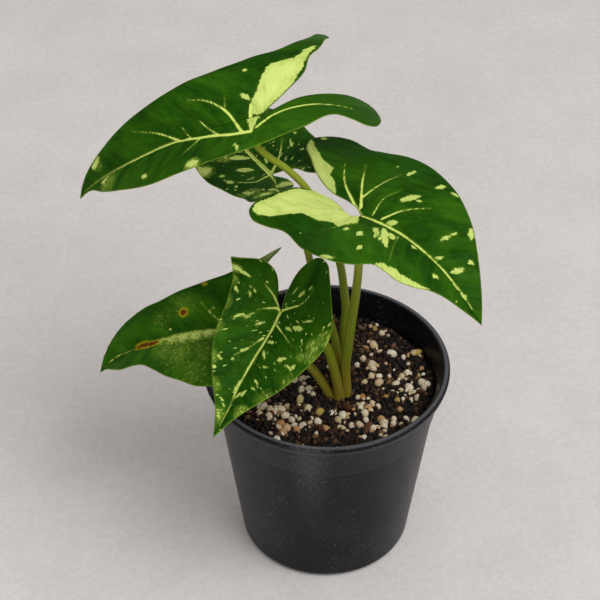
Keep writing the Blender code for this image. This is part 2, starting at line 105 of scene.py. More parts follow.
# Each leaf: hub is where the midrib starts; heading, pitch and roll turn the blade; droop bends the
# midrib down over its length and rear bends the lobes up; twist turns the tip. For each half:
# fold and curl shape its cross-section over the width, lift raises its lobe over the reach, and
# outline runs from the tip round the lobe to the notch as (along, out) in the leaf's own plane.
LEAVES = {
    "leaf_top": {
        "hub": (-31.3, 17.1, 241.8), "heading": 190.4, "pitch": -9.0, "roll": -32.8,
        "length": 111.3, "droop": 62.0, "rear": -27.7, "twist": -6.6, "seat": (4.9, 7.9),
        "left": {"fold": 26.9, "curl": -4.9, "lift": -13.9, "width": 23.2, "reach": 60.6, "outline": (
            (98, 1.5), (85, 8), (72.5, 13), (54.5, 18.6), (38, 19.2), (20, 18.6), (2, 17.2), (-17, 11.5),
            (-36.5, 5), (-43, 8), (-50, 11.7), (-57, 11), (-62, 8), (-66.5, 3), (-65.5, -3.5),
            (-59, -8), (-52, -9.6), (-36, -10.4), (-21.5, -8.8), (-8, -3.6), (0, 0))},
        "right": {"fold": 19.4, "curl": -41.4, "lift": -14.0, "width": 27.2, "reach": 69.5, "outline": (
            (97, 6.5), (81.5, 12), (60, 18.8), (46, 22.5), (32.5, 25.7), (8, 28.8), (-20, 35),
            (-36.5, 44), (-44, 50), (-50.5, 51), (-51, 47), (-44.5, 40.5), (-36, 31), (-30, 26.5),
            (-25, 18), (-14, 9), (0, 0))},
    },
    "leaf_right": {
        "hub": (14.5, -18.2, 213.1), "heading": -40.7, "pitch": 11.0, "roll": -3.5,
        "length": 78.2, "droop": 55.9, "rear": 15.6, "twist": -7.4, "seat": (2.0, 0.0),
        "left": {"fold": 29.5, "curl": -29.0, "lift": -8.0, "width": 39.7, "reach": 67.5, "outline": (
            (66, 8.5), (52, 18.5), (37, 29.8), (24, 36.5), (12, 40.3), (-7, 41.7), (-17, 39.6),
            (-25, 38.2), (-31, 39.6), (-38.5, 41.6), (-47, 41), (-54, 37.8), (-58, 33.5), (-56.2, 27.6),
            (-47, 20), (-36.7, 12.7), (-22, 6.3), (-10, 4.6), (-3.5, 2.5), (0, 0))},
        "right": {"fold": 13.0, "curl": -30.9, "lift": 8.0, "width": 34.8, "reach": 51.2, "outline": (
            (68, 6.5), (54.6, 14.5), (47.5, 21.4), (41, 24.6), (35, 25), (29, 26), (23.7, 31),
            (18, 34.5), (8, 36), (-3.5, 35.2), (-19.4, 31.2), (-27, 33.5), (-34.5, 34.9), (-39, 32),
            (-40, 28), (-39, 21.4), (-37, 12), (-34.7, 3.8), (-31, 0), (-24, -3), (-16, -2.6),
            (-8, 1.4), (-2.5, 2.8), (0, 0))},
    },
    "leaf_front": {
        "hub": (-21.3, -22.2, 159.7), "heading": -118.9, "pitch": -25.9, "roll": -4.6,
        "length": 68.3, "droop": 0.0, "rear": 109.7, "twist": 4.4, "seat": (2.0, 0.0),
        "left": {"fold": 20.7, "curl": 0.0, "lift": -5.6, "width": 34.2, "reach": 35.9, "outline": (
            (58, 5.4), (46, 15.5), (33.5, 25.6), (25, 29.6), (15, 32.6), (5.5, 32.7), (-2, 30.1),
            (-11, 26), (-20, 21.8), (-27, 18.4), (-31.5, 16.2), (-32.5, 12.5), (-30.8, 8.6), (-27, 4.8),
            (-19, -0.3), (-11.8, -1.8), (-5, -1.5), (0, 0))},
        "right": {"fold": 30.0, "curl": 0.0, "lift": 26.8, "width": 25.4, "reach": 44.9, "outline": (
            (54.5, 6.4), (46, 12.3), (37, 17.8), (26.3, 22.1), (9, 24.7), (-5, 27.9), (-19.3, 30.2),
            (-26, 29.3), (-30.5, 27.9), (-32.8, 25), (-32, 21), (-30, 17), (-24.5, 12.4), (-18, 8.4),
            (-10, 5.6), (-3.7, 3.4), (0, 0))},
    },
    "leaf_left": {
        "hub": (-49.9, -2.0, 130.6), "heading": 176.9, "pitch": -6.6, "roll": -10.5,
        "length": 75.5, "droop": 50.7, "rear": 54.6, "twist": 0.9, "seat": (2.0, 0.0),
        "left": {"fold": 14.0, "curl": -36.9, "lift": 0.0, "width": 28.1, "reach": 41.1, "outline": (
            (70, 1.6), (61, 7), (53.5, 11), (47, 12), (41, 13.5), (34, 18.5), (27.5, 23.6), (20, 27.5),
            (12.3, 31.3), (0, 32), (-11, 30.5), (-17, 28), (-20.5, 24), (-21.5, 17.5), (-18.5, 10),
            (-11, 4), (0, 0))},
        "right": {"fold": 30.5, "curl": -41.9, "lift": 11.3, "width": 29.5, "reach": 51.5, "outline": (
            (68, 6), (61, 10.7), (48, 16.8), (40, 19.4), (31, 20), (21, 23.4), (11.5, 25.8), (2.4, 29.2),
            (-8.4, 36.6), (-17, 41.5), (-25, 45), (-31.2, 41.6), (-30.5, 37.4), (-27, 34.3),
            (-22, 25.1), (-14, 14), (0, 0))},
    },
    "leaf_back": {
        "hub": (-27.2, 33.9, 195.8), "heading": 117.4, "pitch": -9.7, "roll": -15.3,
        "length": 74.4, "droop": -12.7, "rear": 13.1, "twist": 4.0, "seat": (2.0, 0.0),
        "left": {"fold": 14.5, "curl": -7.7, "lift": 16.2, "width": 27.6, "reach": 43.3, "outline": (
            (65, 8.5), (52, 17.5), (37, 25), (26, 27), (13.5, 27), (-2, 23.5), (-17, 20.5), (-25, 21),
            (-30.5, 20.3), (-35, 16), (-36.3, 10), (-33.5, 4.5), (-27, -0.5), (-19, -3.8), (-8, -4.2),
            (0, 0))},
        "right": {"fold": 8.0, "curl": -10.0, "lift": 0.1, "width": 28.7, "reach": 49.0, "outline": (
            (64, 10.9), (51, 20), (40.3, 26.2), (29.9, 29.6), (13.4, 29), (-2.8, 29.5), (-14.5, 33.4),
            (-21.4, 31.9), (-26.6, 28), (-26.9, 23.4), (-23.4, 18), (-15.9, 13), (-7.7, 10.5), (0, 0))},
    },
}

# Markings in each leaf's own plane, as (along, across) with the left half positive. A vein has the
# half it is on (0 for both), its widths at its two ends and its points; a patch has its half and its
# corners; a fleck runs between two places and has a half-width.
MARKINGS = {
    "leaf_top": {
        "veins": (
            (0, 1.2, 0.3, ((5.5, 8), (10, 7.5), (15.5, 6.5), (20, 5), (28.5, 3), (38.5, 0.5), (61, 0),
                           (89, -0.5), (104, -0.5))),
            (0, 1.0, 1.3, ((5, 7.5), (4.5, 0.5), (2.5, -6))),
            (0, 1.05, 0.1, ((9, 7.6), (14.5, -6.5), (22, -13.5), (30, -16.5))),
            (-1, 0.35, 0.05, ((14.5, -6.5), (13, -13.5))),
            (0, 0.7, 0.0, ((20, 4.8), (27, -5.5))),
            (0, 0.35, 0.05, ((33, 1.5), (35.5, -5))),
            (0, 0.7, 0.05, ((38, 0.5), (46.5, -6), (60, -12.5))),
            (1, 0.35, 0.05, ((28.5, 3.5), (38.5, 10))),
            (1, 0.8, 0.2, ((3, 6.5), (-7, 0.5), (-17, -2), (-27, -2.5), (-37, -1.5), (-46.5, 0.5))),
            (-1, 0.4, 0.1, ((-5, -5.5), (-10.5, -10.5), (-19, -18), (-26, -25.5)))),
        "patches": (
            (-1, ((3.5, -2), (1.5, -8.5), (-1.5, -12.5), (-5, -19), (-9.5, -23), (-15, -25), (-22, -26.5),
                  (-29, -30.5), (-36, -34), (-31, -29), (-26, -23), (-21, -16), (-15, -10), (-8, -5), (-1, -1))),
            (1, ((6, -1), (5.8, 3), (5.4, 7), (4.2, 6.5), (2.6, 3), (0, 0.5), (0, -1)))),
        "flecks": ((5.5, -11.5, 3, -9, 1.4), (89, -7, 83.5, -9.5, 1.4), (86.5, 2.5, 82, 1, 1), (58.5, 12, 56, 13.5, 1.2),
                   (35, 16.5, 30.5, 16.5, 1.8), (-29, -8, -35.5, -7.5, 1), (13, 13, 12.5, 17, 1),
                   (2, -23, 1, -23, 0.5), (38.5, -25, 38.5, -25, 0.3)),
    },
    "leaf_right": {
        "veins": (
            (0, 0.85, 0.35, ((1, 0), (12, 0.5), (23, 1), (34.5, 1), (46, 1), (57, 0.5), (64, 0.5), (70, 0))),
            (1, 1.2, 0.2, ((-0.5, 0.5), (-8.5, 5.5), (-21, 14.5), (-28.5, 23.5))),
            (1, 1.1, 0.15, ((-2.5, 4), (-11.5, 16.5), (-18.5, 27))),
            (1, 0.8, 0.1, ((-5.5, 9.5), (-2.5, 19), (2, 28.5))),
            (1, 0.55, 0.0, ((5.5, 2.5), (4.5, 12), (8, 20))),
            (1, 0.7, 0.0, ((10.5, 2.5), (16.5, 11.5), (24.5, 19.5))),
            (-1, 0.15, -0.1, ((5.5, -8), (0.5, -14.5), (-4.5, -21))),
            (-1, 0.1, -0.2, ((23, -1), (29, -13.5), (32.5, -19)))),
        "patches": (
            (-1, ((5, -8), (1.5, -12), (0.5, -15), (-4, -13.5), (-10.5, -16.5), (-20, -17), (-23.5, -21),
                  (-28, -27), (-33.5, -31.5), (-37.5, -31.5), (-39, -28), (-36.5, -20), (-35.5, -12), (-33.5, -5),
                  (-30, -0.5), (-24, 3), (-16, 3), (-8, -0.5), (0, -1))),
            (1, ((-59, 33), (-48, 26), (-41, 22), (-36, 20), (-31.5, 19.5), (-31, 15.5), (-25.5, 12), (-20, 7.5),
                 (-20, 5), (-27.5, 7), (-39, 12.5), (-50, 20.5), (-58, 27))),
            (-1, ((29.5, -25), (32, -21.8), (38.5, -20.5), (46, -19), (53, -15.5), (55, -17), (49.5, -22),
                  (43, -27), (37.5, -28), (31, -28)))),
        "flecks": ((4.5, 29.5, 5.5, 34, 1.4), (12, 15.5, 16.5, 22, 1.8), (17.5, 19, 19, 19.5, 1.1),
                   (19, 30.5, 20.5, 34.5, 0.9), (25, 33, 27.5, 34, 0.7), (11.5, -14.5, 12.5, -14.5, 2.7),
                   (17.5, -22, 18.5, -22, 2.4), (4.5, -15.5, 5.5, -15, 1.4), (12.5, -5.5, 16, -8, 1.3),
                   (16, -3, 25, -13, 1.9), (20.5, -3.5, 24, -6, 1.8), (14.5, 2, 17.5, 4, 1.2),
                   (16, -7, 18, -12, 1.1), (20, -5, 20.5, -12, 1), (32, -1.5, 33, -1.5, 2.5), (42, 1.5, 44, 4.5, 0.7),
                   (52, 3.5, 54, 8, 0.9), (49.5, -6.5, 49.5, -6.5, 2.9), (38, 10.5, 40, 17.5, 0.9),
                   (43, 24, 46, 20.5, 1.6), (53.5, 13, 53.5, 13, 2.4), (56.5, 0, 59.5, 0, 1.1),
                   (62, 0, 65, 0, 1.2), (63.5, -7, 63.5, -7, 0.9), (-54, 35.5, -51, 36, 1.4),
                   (7.5, -35.5, 13.5, -34, 1.3), (-3.5, 32, -3, 33, 0.9)),
    },
    "leaf_front": {
        "veins": (
            (0, 1.15, 0.15, ((-0.5, 0), (10.5, 0.5), (24.5, -0.5), (41.5, -1), (54, 0), (62, 0))),
            (-1, 0.9, 0.1, ((0, -1), (0, -2.5), (2.5, -6.5), (5.5, -10.5))),
            (-1, 0.9, 0.05, ((-1, -1), (-3, -4), (-6, -8), (-9.5, -13.5))),
            (-1, 0.5, 0.05, ((15.5, -1.5), (20.5, -4), (29.5, -9.5))),
            (1, 0.9, -0.2, ((0, 0.5), (-7.5, 10), (-16.5, 12.5))),
            (1, 0.5, 0.0, ((7.5, 2), (13.5, 12), (16.5, 17)))),
        "patches": (),
        "flecks": ((15, -18.5, 10.5, -15, 0.5), (12, -14, 9.5, -11.5, 0.4), (8.5, -12, 6.5, -10, 0.4),
                   (12, -7.5, 9, -4.5, 0.5), (6.5, 11.5, 6.5, 17, 1.4), (2.5, 14.5, 1.5, 19.5, 0.8),
                   (6, 0, 6.5, 3, 0.4), (7.5, 7.5, 8.5, 11.5, 0.6), (16.5, 0.5, 16.5, 5.5, 0.7),
                   (21.5, 2.5, 25.5, 6, 0.6), (24, 12.5, 22.5, 16.5, 0.8), (26.5, -8, 23.5, -5.5, 0.6),
                   (34, -16, 34.5, -14.5, 0.6), (31.5, -10, 31, -8.5, 0.5), (39, -16.5, 39.5, -14.5, 0.6),
                   (28, 3.5, 28, 3.5, 0.5), (29, 7, 29, 9.5, 0.6), (36, 6.5, 38, 9, 0.5),
                   (40, 6.5, 41, 8.5, 0.4), (45, 3.5, 43, 4.5, 0.7), (26, 18, 26.5, 22.5, 0.6),
                   (51.5, -4.5, 53, -2.5, 0.5), (57.5, -3.5, 59.5, -1.5, 0.5), (50, -7, 51, -4.5, 0.5),
                   (-12.5, -29.5, -11.5, -25.5, 2.3), (-11.5, -25.5, -9.5, -20, 1.4), (1.5, -24.5, 3, -22.5, 0.6),
                   (0, -17.5, 2, -16, 0.4), (-3, -16, -1.5, -15, 0.6), (-10, 18, -10, 18, 0.5),
                   (-9.5, 6.5, -13.5, 8.5, 0.9), (-14.5, 10, -17.5, 11.5, 0.9), (27, 22.5, 24.5, 23, 1.2),
                   (37, 0, 45, -1.5, 1.1), (48, 0, 44, 2, 0.6)),
    },
    "leaf_left": {
        "veins": (
            (0, 0.55, 0.2, ((3.5, 1.5), (14.5, 2), (25, 2), (32.5, 1), (52.5, 0), (61, -1), (70, 0))),
            (-1, 0.4, 0.05, ((0.5, -3), (6, -8.5), (10, -14)))),
        "patches": (),
        "flecks": ((27, -2.6, 25, -3.4, 0.45), (6, -9, 4, -10.5, 0.3)),
    },
    "leaf_back": {
        "veins": (
            (0, 1.9, 0.3, ((0, 0), (10, 0), (16.5, 0), (26, 0), (48, 0), (66, 0))),
            (-1, 1.1, 0.1, ((0, 0), (7.5, -9), (19.5, -17))),
            (1, 0.8, 0.1, ((0, 0), (-2, 8.5), (5.5, 19))),
            (1, 0.7, -0.3, ((-1, 0.3), (-9, 2), (-17, 3.5))),
            (-1, 0.8, 0.1, ((-1, -1), (-6, -8), (-12, -18)))),
        "patches": (
            (1, ((27.5, 26), (22.5, 20.5), (19.5, 23), (18.5, 27), (23.5, 27.5))),
            (1, ((-13, 2), (-16, 4), (-21, 1), (-21, -3), (-17, -4), (-13, -2)))),
        "flecks": ((12, 10.5, 8.5, 6, 2.4), (-12.5, 16.5, -12.5, 16.5, 3.4), (-17, 8, -20, 6, 1.8),
                   (27, 11, 27, 11, 1.6), (24, 9, 19.5, 2.5, 1.7), (13.5, -18.5, 10, -17.5, 0.9),
                   (3, -20, 3, -20, 1.9), (13.5, 20, 12, 19, 1), (-22.5, 13, -24, 10, 2.6), (19, -23.5, 17.5, -23.5, 0.7),
                   (-2.5, 19.5, -2.5, 19.5, 1), (13.5, -4, 9.5, -3, 0.7), (6.5, 19.5, 4, 18, 1.4)),
    },
}

# Stippled areas of pale green as (along, across, radius, strength), and brown spots as (along, across,
# radius)
MOTTLED = {
    "leaf_front": ((8, 31, 4.5, 0.5), (13, 27, 4, 0.6), (18, 29, 4.5, 0.5), (20, 24, 3, 0.4), (33, 24, 5, 0.2),
                   (44, 16, 5, 0.3), (53, 8, 4, 0.6), (-12, -28, 4, 0.8), (-2, -28, 4, 0.5), (10, -26, 4, 0.5),
                   (22, -24, 4, 0.45), (36, -19, 4, 0.5), (47, -12, 4, 0.5), (58, -3, 4, 0.4)),
    "leaf_left": ((7, 2.5, 4.5, 1), (13, 3, 5, 1), (19, 3.2, 5, 1), (25, 3, 4.5, 0.9), (31, 2.5, 3, 0.8),
                  (9, 13, 9, 0.2), (20, 13, 10, 0.25), (28, 9, 7, 0.25), (12, 24, 9, 0.2), (-24, -40, 9, 0.5),
                  (18, -14, 8, 0.16), (30, -9, 7, 0.13)),
    "leaf_top": ((82, 4, 6, 0.5), (33, 17, 3.5, 0.9), (-33, -8, 6, 0.4), (86, -8, 4, 0.35)),
    "leaf_back": ((-12, 16, 5, 0.7), (22, 25, 5, 0.7), (-24, 12, 6, 0.7), (-17, 0, 6, 0.5), (26, 12, 4, 0.5)),
}
BROWNED = {
    "leaf_left": ((45, 0.5, 1.4), (42.5, 1, 2), (40, 1.5, 2.1), (37, 2, 2), (34.5, 2.4, 1.8), (32.5, 2.6, 1.2),
                  (18.5, -10, 1.8), (9, -24.5, 0.7)),
}
# Seed, and how many small pale specks each leaf has, from 0 to 1
SPECKLING = {"leaf_top": (3.0, 0.09), "leaf_right": (11.0, 0.12), "leaf_front": (23.0, 0.55),
             "leaf_left": (31.0, 0.12), "leaf_back": (47.0, 0.62)}

# Each stalk: (base radius, top radius) and its route from the crown up to under its blade
STALKS = {
    "leaf_top": ((2.3, 1.5), (
        (6.8, -1.5, 86), (7.4, 0.6, 93), (7.8, 3.2, 101), (7.4, 4.8, 112), (8.2, 5.4, 125.5), (8.9, 6, 137),
        (7.9, 6.6, 148), (6.3, 7.6, 161), (0.9, 9.4, 181.5), (-5.7, 11, 197.3), (-12.3, 12.4, 207.8),
        (-20, 13.2, 216), (-28, 12.2, 223.5), (-33, 10.6, 231))),
    "leaf_right": ((2.6, 1.75), (
        (9.2, -5.2, 86), (9.4, -5.4, 97), (8.9, -5.7, 108), (9.9, -7, 123), (11.3, -8.6, 139.7),
        (12.9, -10.6, 157), (13.9, -12.4, 172), (14.4, -14.8, 187), (15, -17.4, 200))),
    "leaf_front": ((2.5, 1.9), (
        (5.4, -8.4, 86), (6.2, -8.4, 93), (5.4, -9.2, 101), (3, -11, 116), (0.1, -13.2, 129),
        (-5.6, -16.4, 142.5), (-12.8, -19.6, 151.5), (-19.5, -22, 155.5))),
    "leaf_left": ((2.3, 1.9), (
        (4, -6.2, 86), (1.6, -7.6, 94), (-3, -7.3, 103.4), (-8, -6.7, 110.8), (-17.6, -5.4, 118.2),
        (-31, -4, 123.8), (-42, -3, 126.6), (-49, -2.2, 127))),
    "leaf_back": ((2.1, 1.5), (
        (4.6, -2.6, 86), (6.2, -2.4, 96), (5.4, -1.2, 108), (4.4, 0.9, 119), (1.6, 3.8, 130.5),
        (-2.8, 8.2, 142.5), (-7.5, 13.4, 156), (-11, 18.4, 168), (-17, 24.4, 179), (-24, 31, 186.5))),
}
# Height where each stalk stands clear of its sheath
SHEATH_TOPS = {"leaf_top": 104.0, "leaf_right": 112.0, "leaf_front": 108.0, "leaf_left": 100.0,
               "leaf_back": 104.0}


def srgb(red, green, blue):
    """A screen colour of 0 to 255 as the linear colour that a shader takes."""
    def linear(value):
        value /= 255.0
        return value / 12.92 if value <= 0.04045 else ((value + 0.055) / 1.055) ** 2.4
    return linear(red), linear(green), linear(blue), 1.0


def add_node(tree, kind, inputs=(), **settings):
    """A node with its settings and inputs; each input is a value or another node's output."""
    node = tree.nodes.new(kind)
    for name, value in settings.items():
        setattr(node, name, value)
    for name, value in dict(inputs).items():
        if isinstance(value, bpy.types.NodeSocket):
            tree.links.new(value, node.inputs[name])
        else:
            node.inputs[name].default_value = value
    return node


def calc(tree, operation, *values, clamp=False):
    return add_node(tree, "ShaderNodeMath", enumerate(values), operation=operation, use_clamp=clamp).outputs[0]


def edge(tree, value, low, high):
    """A soft step from 0 at low to 1 at high."""
    inputs = {"Value": value, "From Min": low, "From Max": high}
    return add_node(tree, "ShaderNodeMapRange", inputs, interpolation_type="SMOOTHSTEP").outputs["Result"]


def blend(tree, factor, first, second, blend_type="MIX"):
    node = add_node(tree, "ShaderNodeMix", {0: factor, 6: first, 7: second}, data_type="RGBA",
                    blend_type=blend_type)
    return node.outputs[2]


def scaled(tree, vector, scale):
    inputs = {0: vector, 1: scale}
    return add_node(tree, "ShaderNodeVectorMath", inputs, operation="MULTIPLY").outputs[0]


def speckle(tree, vector, size, detail=2.0, roughness=0.5, distortion=0.0):
    """Noise from 0 to 1 with features of about the given size."""
    inputs = {"Vector": vector, "Scale": 1.0 / size, "Detail": detail, "Roughness": roughness,
              "Distortion": distortion}
    return add_node(tree, "ShaderNodeTexNoise", inputs).outputs["Fac"]


def attribute(tree, name, output="Fac"):
    return add_node(tree, "ShaderNodeAttribute", attribute_name=name).outputs[output]


def object_place(tree):
    return add_node(tree, "ShaderNodeTexCoord").outputs["Object"]


def new_group(name, kind, inputs, outputs):
    """A node group with its sockets, and its input and output nodes."""
    tree = bpy.data.node_groups.new(name, kind)
    for label, socket_type, value in inputs:
        socket = tree.interface.new_socket(label, in_out="INPUT", socket_type=socket_type)
        if value is not None:
            socket.default_value = value
    for label, socket_type in outputs:
        tree.interface.new_socket(label, in_out="OUTPUT", socket_type=socket_type)
    return tree, tree.nodes.new("NodeGroupInput"), tree.nodes.new("NodeGroupOutput")


def use_group(tree, group, values):
    node = tree.nodes.new("ShaderNodeGroup")
    node.node_tree = group
    for name, value in values.items():
        if isinstance(value, bpy.types.NodeSocket):
            tree.links.new(value, node.inputs[name])
        else:
            node.inputs[name].default_value = value
    return node


def new_material(name, roughness=0.5, specular=0.5):
    """A material, its node tree and its shader."""
    material = bpy.data.materials.new(name)
    material.use_nodes = True
    tree = material.node_tree
    shader = tree.nodes["Principled BSDF"]
    shader.inputs["Roughness"].default_value = roughness
    shader.inputs["Specular IOR Level"].default_value = specular
    return material, tree, shader


def add_bump(tree, shader, height, distance, strength=1.0):
    """Relief of the given depth in metres where height goes from 0 to 1."""
    bump = add_node(tree, "ShaderNodeBump", {"Height": height, "Distance": distance, "Strength": strength})
    tree.links.new(bump.outputs["Normal"], shader.inputs["Normal"])


def add_piece(name, mesh, replaced=()):
    piece = bpy.data.objects.new(name, mesh)
    bpy.context.scene.collection.objects.link(piece)
    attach(piece, BODY)
    if replaced:
        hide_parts(*replaced)
    return piece


def baked(name, data, tree, values):
    """The plain mesh that a Geometry Nodes tree makes from some geometry, with named input values."""
    carrier = bpy.data.objects.new(name + "_carrier", data)
    bpy.context.scene.collection.objects.link(carrier)
    modifier = carrier.modifiers.new(tree.name, "NODES")
    modifier.node_group = tree
    sockets = {item.name: item.identifier for item in tree.interface.items_tree if item.in_out == "INPUT"}
    for label, value in values.items():
        modifier[sockets[label]] = value
    bpy.context.view_layer.update()
    evaluated = carrier.evaluated_get(bpy.context.evaluated_depsgraph_get())
    mesh = bpy.data.meshes.new_from_object(evaluated)
    mesh.name = name
    bpy.data.objects.remove(carrier, do_unlink=True)
    return mesh


def smooth_line(points, step):
    """Points about one step apart on a smooth curve through the given ones."""
    given = [Vector(p) for p in points]
    ends = [given[0] * 2.0 - given[1]] + given + [given[-1] * 2.0 - given[-2]]
    line = []
    for i in range(1, len(ends) - 2):
        before, start, end, after = ends[i - 1], ends[i], ends[i + 1], ends[i + 2]
        back = max((start - before).length, 1e-6)
        here = max((end - start).length, 1e-6)
        ahead = max((after - end).length, 1e-6)
        leave = ((start - before) / back * here + (end - start) / here * back) / (back + here) * here
        arrive = ((end - start) / here * ahead + (after - end) / ahead * here) / (here + ahead) * here
        count = max(1, round(here / step))
        for k in range(count):
            t = k / count
            line.append(start * (2 * t ** 3 - 3 * t ** 2 + 1) + leave * (t ** 3 - 2 * t ** 2 + t)
                        + end * (3 * t ** 2 - 2 * t ** 3) + arrive * (t ** 3 - t ** 2))
    line.append(given[-1])
    return line


def blade_surface(leaf, along, out, side):
    """Points of a blade's middle surface in millimetres, from their places in the flat leaf."""
    def pick(key):
        return np.where(side > 0, leaf["left"][key], leaf["right"][key])
    fold = np.radians(pick("fold"))
    curl = np.radians(pick("curl")) / pick("width")
    curl = np.where(np.abs(curl) < 1e-5, 1e-5, curl)
    across = (np.sin(fold + curl * out) - np.sin(fold)) / curl
    rise = (np.cos(fold) - np.cos(fold + curl * out)) / curl
    rise = rise + np.radians(pick("lift")) * np.minimum(along, 0.0) ** 2 / pick("reach")
    twist = math.radians(leaf["twist"]) * np.maximum(along, 0.0) / leaf["length"]
    y = side * across * np.cos(twist) - rise * np.sin(twist)
    rise = rise * np.cos(twist) + side * across * np.sin(twist)
    ahead = -math.radians(leaf["droop"]) / leaf["length"] or 1e-6
    bend = np.where(along >= 0.0, ahead, math.radians(leaf["rear"]) / REAR_ARC_LENGTH)
    angle = bend * along
    x = np.sin(angle) / bend - rise * np.sin(angle)
    z = (1.0 - np.cos(angle)) / bend + rise * np.cos(angle)
    turn = Matrix.Rotation(math.radians(leaf["heading"]), 3, "Z")
    turn = turn @ Matrix.Rotation(-math.radians(leaf["pitch"]), 3, "Y")
    turn = turn @ Matrix.Rotation(math.radians(leaf["roll"]), 3, "X")
    return np.stack((x, y, z), axis=-1) @ np.array(turn).T + np.array(leaf["hub"])


def inside(places, corners):
    """Which places lie inside a closed outline."""
    result = np.zeros(len(places), bool)
    x, y = places[:, 0], places[:, 1]
    for (ax, ay), (bx, by) in zip(corners, np.roll(corners, -1, axis=0)):
        if ay != by:
            result ^= ((ay > y) != (by > y)) & (x < ax + (y - ay) / (by - ay) * (bx - ax))
    return result


def flat_half(leaf, side, step):
    """Triangles that fill one half of the flat leaf, as (along, out) points."""
    half = leaf["left"] if side > 0 else leaf["right"]
    border = smooth_line(((leaf["length"], 0.0),) + half["outline"], step)
    ribs = round(leaf["length"] / step)
    border += [Vector((leaf["length"] * i / ribs, 0.0)) for i in range(1, ribs)]
    corners = np.array([p[:] for p in border])
    low, high = corners.min(axis=0), corners.max(axis=0)
    row_gap = step * math.sqrt(0.75)
    x, y = np.meshgrid(np.arange(low[0], high[0], step), np.arange(low[1], high[1], row_gap))
    x += 0.5 * step * (np.arange(len(x)) % 2)[:, None]
    grid = np.stack((x.ravel(), y.ravel()), axis=-1)
    grid = grid[inside(grid, corners)]
    tree = KDTree(len(border))
    for i, p in enumerate(border):
        tree.insert((*p, 0.0), i)
    tree.balance()
    inner = [Vector(p) for p in grid if tree.find((*p, 0.0))[2] > 0.6 * step]
    loop = list(range(len(border)))
    edges = list(zip(loop, loop[1:] + loop[:1]))
    result = delaunay_2d_cdt(border + inner, edges, [loop], 1, 1e-5)
    return result[0], result[2]


def flat_leaf(leaf, step):
    """Both halves as one flat sheet: rows of (along, out, side), and triangles."""
    rows = []
    faces = []
    rib = {}
    for side in (1, -1):
        points, triangles = flat_half(leaf, side, step)
        index = []
        for p in points:
            on_rib = abs(p.y) < 0.01 and p.x > -0.01
            key = round(p.x, 1)
            if on_rib and key in rib:
                index.append(rib[key])
                continue
            if on_rib:
                rib[key] = len(rows)
            index.append(len(rows))
            rows.append((p.x, p.y, side))
        for triangle in triangles:
            corners = [index[i] for i in triangle]
            faces.append(corners if side > 0 else corners[::-1])
    return np.array(rows), faces


def line_depth(along, across, points, start_width, end_width, spindle=False):
    """How far inside a tapering line each place lies, in millimetres; negative outside."""
    route = [np.array(p) for p in points]
    if len(route) > 2:
        route = [np.array(p) for p in smooth_line(points, 2.0)]
    lengths = [np.linalg.norm(b - a) for a, b in zip(route, route[1:])]
    total = max(sum(lengths), 1e-6)
    best = np.full(along.shape, -FAR)
    run = 0.0
    for a, b, length in zip(route, route[1:], lengths):
        t = ((along - a[0]) * (b[0] - a[0]) + (across - a[1]) * (b[1] - a[1])) / max(length ** 2, 1e-6)
        t = np.clip(t, 0.0, 1.0)
        away = np.hypot(along - a[0] - t * (b[0] - a[0]), across - a[1] - t * (b[1] - a[1]))
        part = (run + t * length) / total
        width = start_width + (end_width - start_width) * part
        if spindle:
            width = width * (1.0 - 0.55 * (2.0 * part - 1.0) ** 2)
        best = np.maximum(best, width - away)
        run += length
    return best


def patch_depth(along, across, corners):
    """How far inside a closed outline each place lies, in millimetres; negative outside."""
    ring = tuple(corners) + (corners[0],)
    best = np.full(along.shape, -2.0 * FAR)
    for a, b in zip(ring, ring[1:]):
        best = np.maximum(best, line_depth(along, across, (a, b), 0.0, 0.0))
    within = inside(np.stack((along, across), axis=-1), np.array(corners, float))
    return np.where(within, -best, best)


def marking_depths(name, along, across, side):
    """Depths inside the pale veins, cream areas and brown spots, and how mottled each place is."""
    marks = MARKINGS[name]
    veins = np.full(along.shape, -FAR)
    cream = np.full(along.shape, -FAR)
    mottled = np.zeros(along.shape)
    brown = np.full(along.shape, -FAR)
    for half, start, end, points in marks["veins"]:
        depth = line_depth(along, across, points, VEIN_WIDTH * start, VEIN_WIDTH * end)
        veins = np.maximum(veins, np.where((half == 0) | (side == half), depth, -FAR))
    for half, corners in marks["patches"]:
        depth = patch_depth(along, across, corners)
        cream = np.maximum(cream, np.where(side == half, depth, -FAR))
    for a0, c0, a1, c1, width in marks["flecks"]:
        depth = line_depth(along, across, ((a0, c0), (a1, c1)), width, 0.7 * width, spindle=True)
        cream = np.maximum(cream, np.where(side * (c0 + c1) >= 0, depth, -FAR))
    for a0, c0, radius, strength in MOTTLED.get(name, ()):
        near = strength * np.clip(1.3 - np.hypot(along - a0, across - c0) / radius, 0.0, 1.0)
        mottled = np.maximum(mottled, np.where(side * c0 >= 0, near, 0.0))
    for a0, c0, radius in BROWNED.get(name, ()):
        brown = np.maximum(brown, radius - np.hypot(along - a0, across - c0))
    return veins, cream, mottled, brown


def vein_order(along, out):
    """A measure that is whole on each side vein: they leave the midrib forwards, and fan over the lobe."""
    ahead = along - 0.45 * out - 0.012 * out ** 2
    fan = LOBE_VEINS / VEIN_SPACING * np.arctan2(ahead, np.abs(out) + 2.0)
    return np.where(ahead >= 0.0, ahead / VEIN_SPACING, fan)


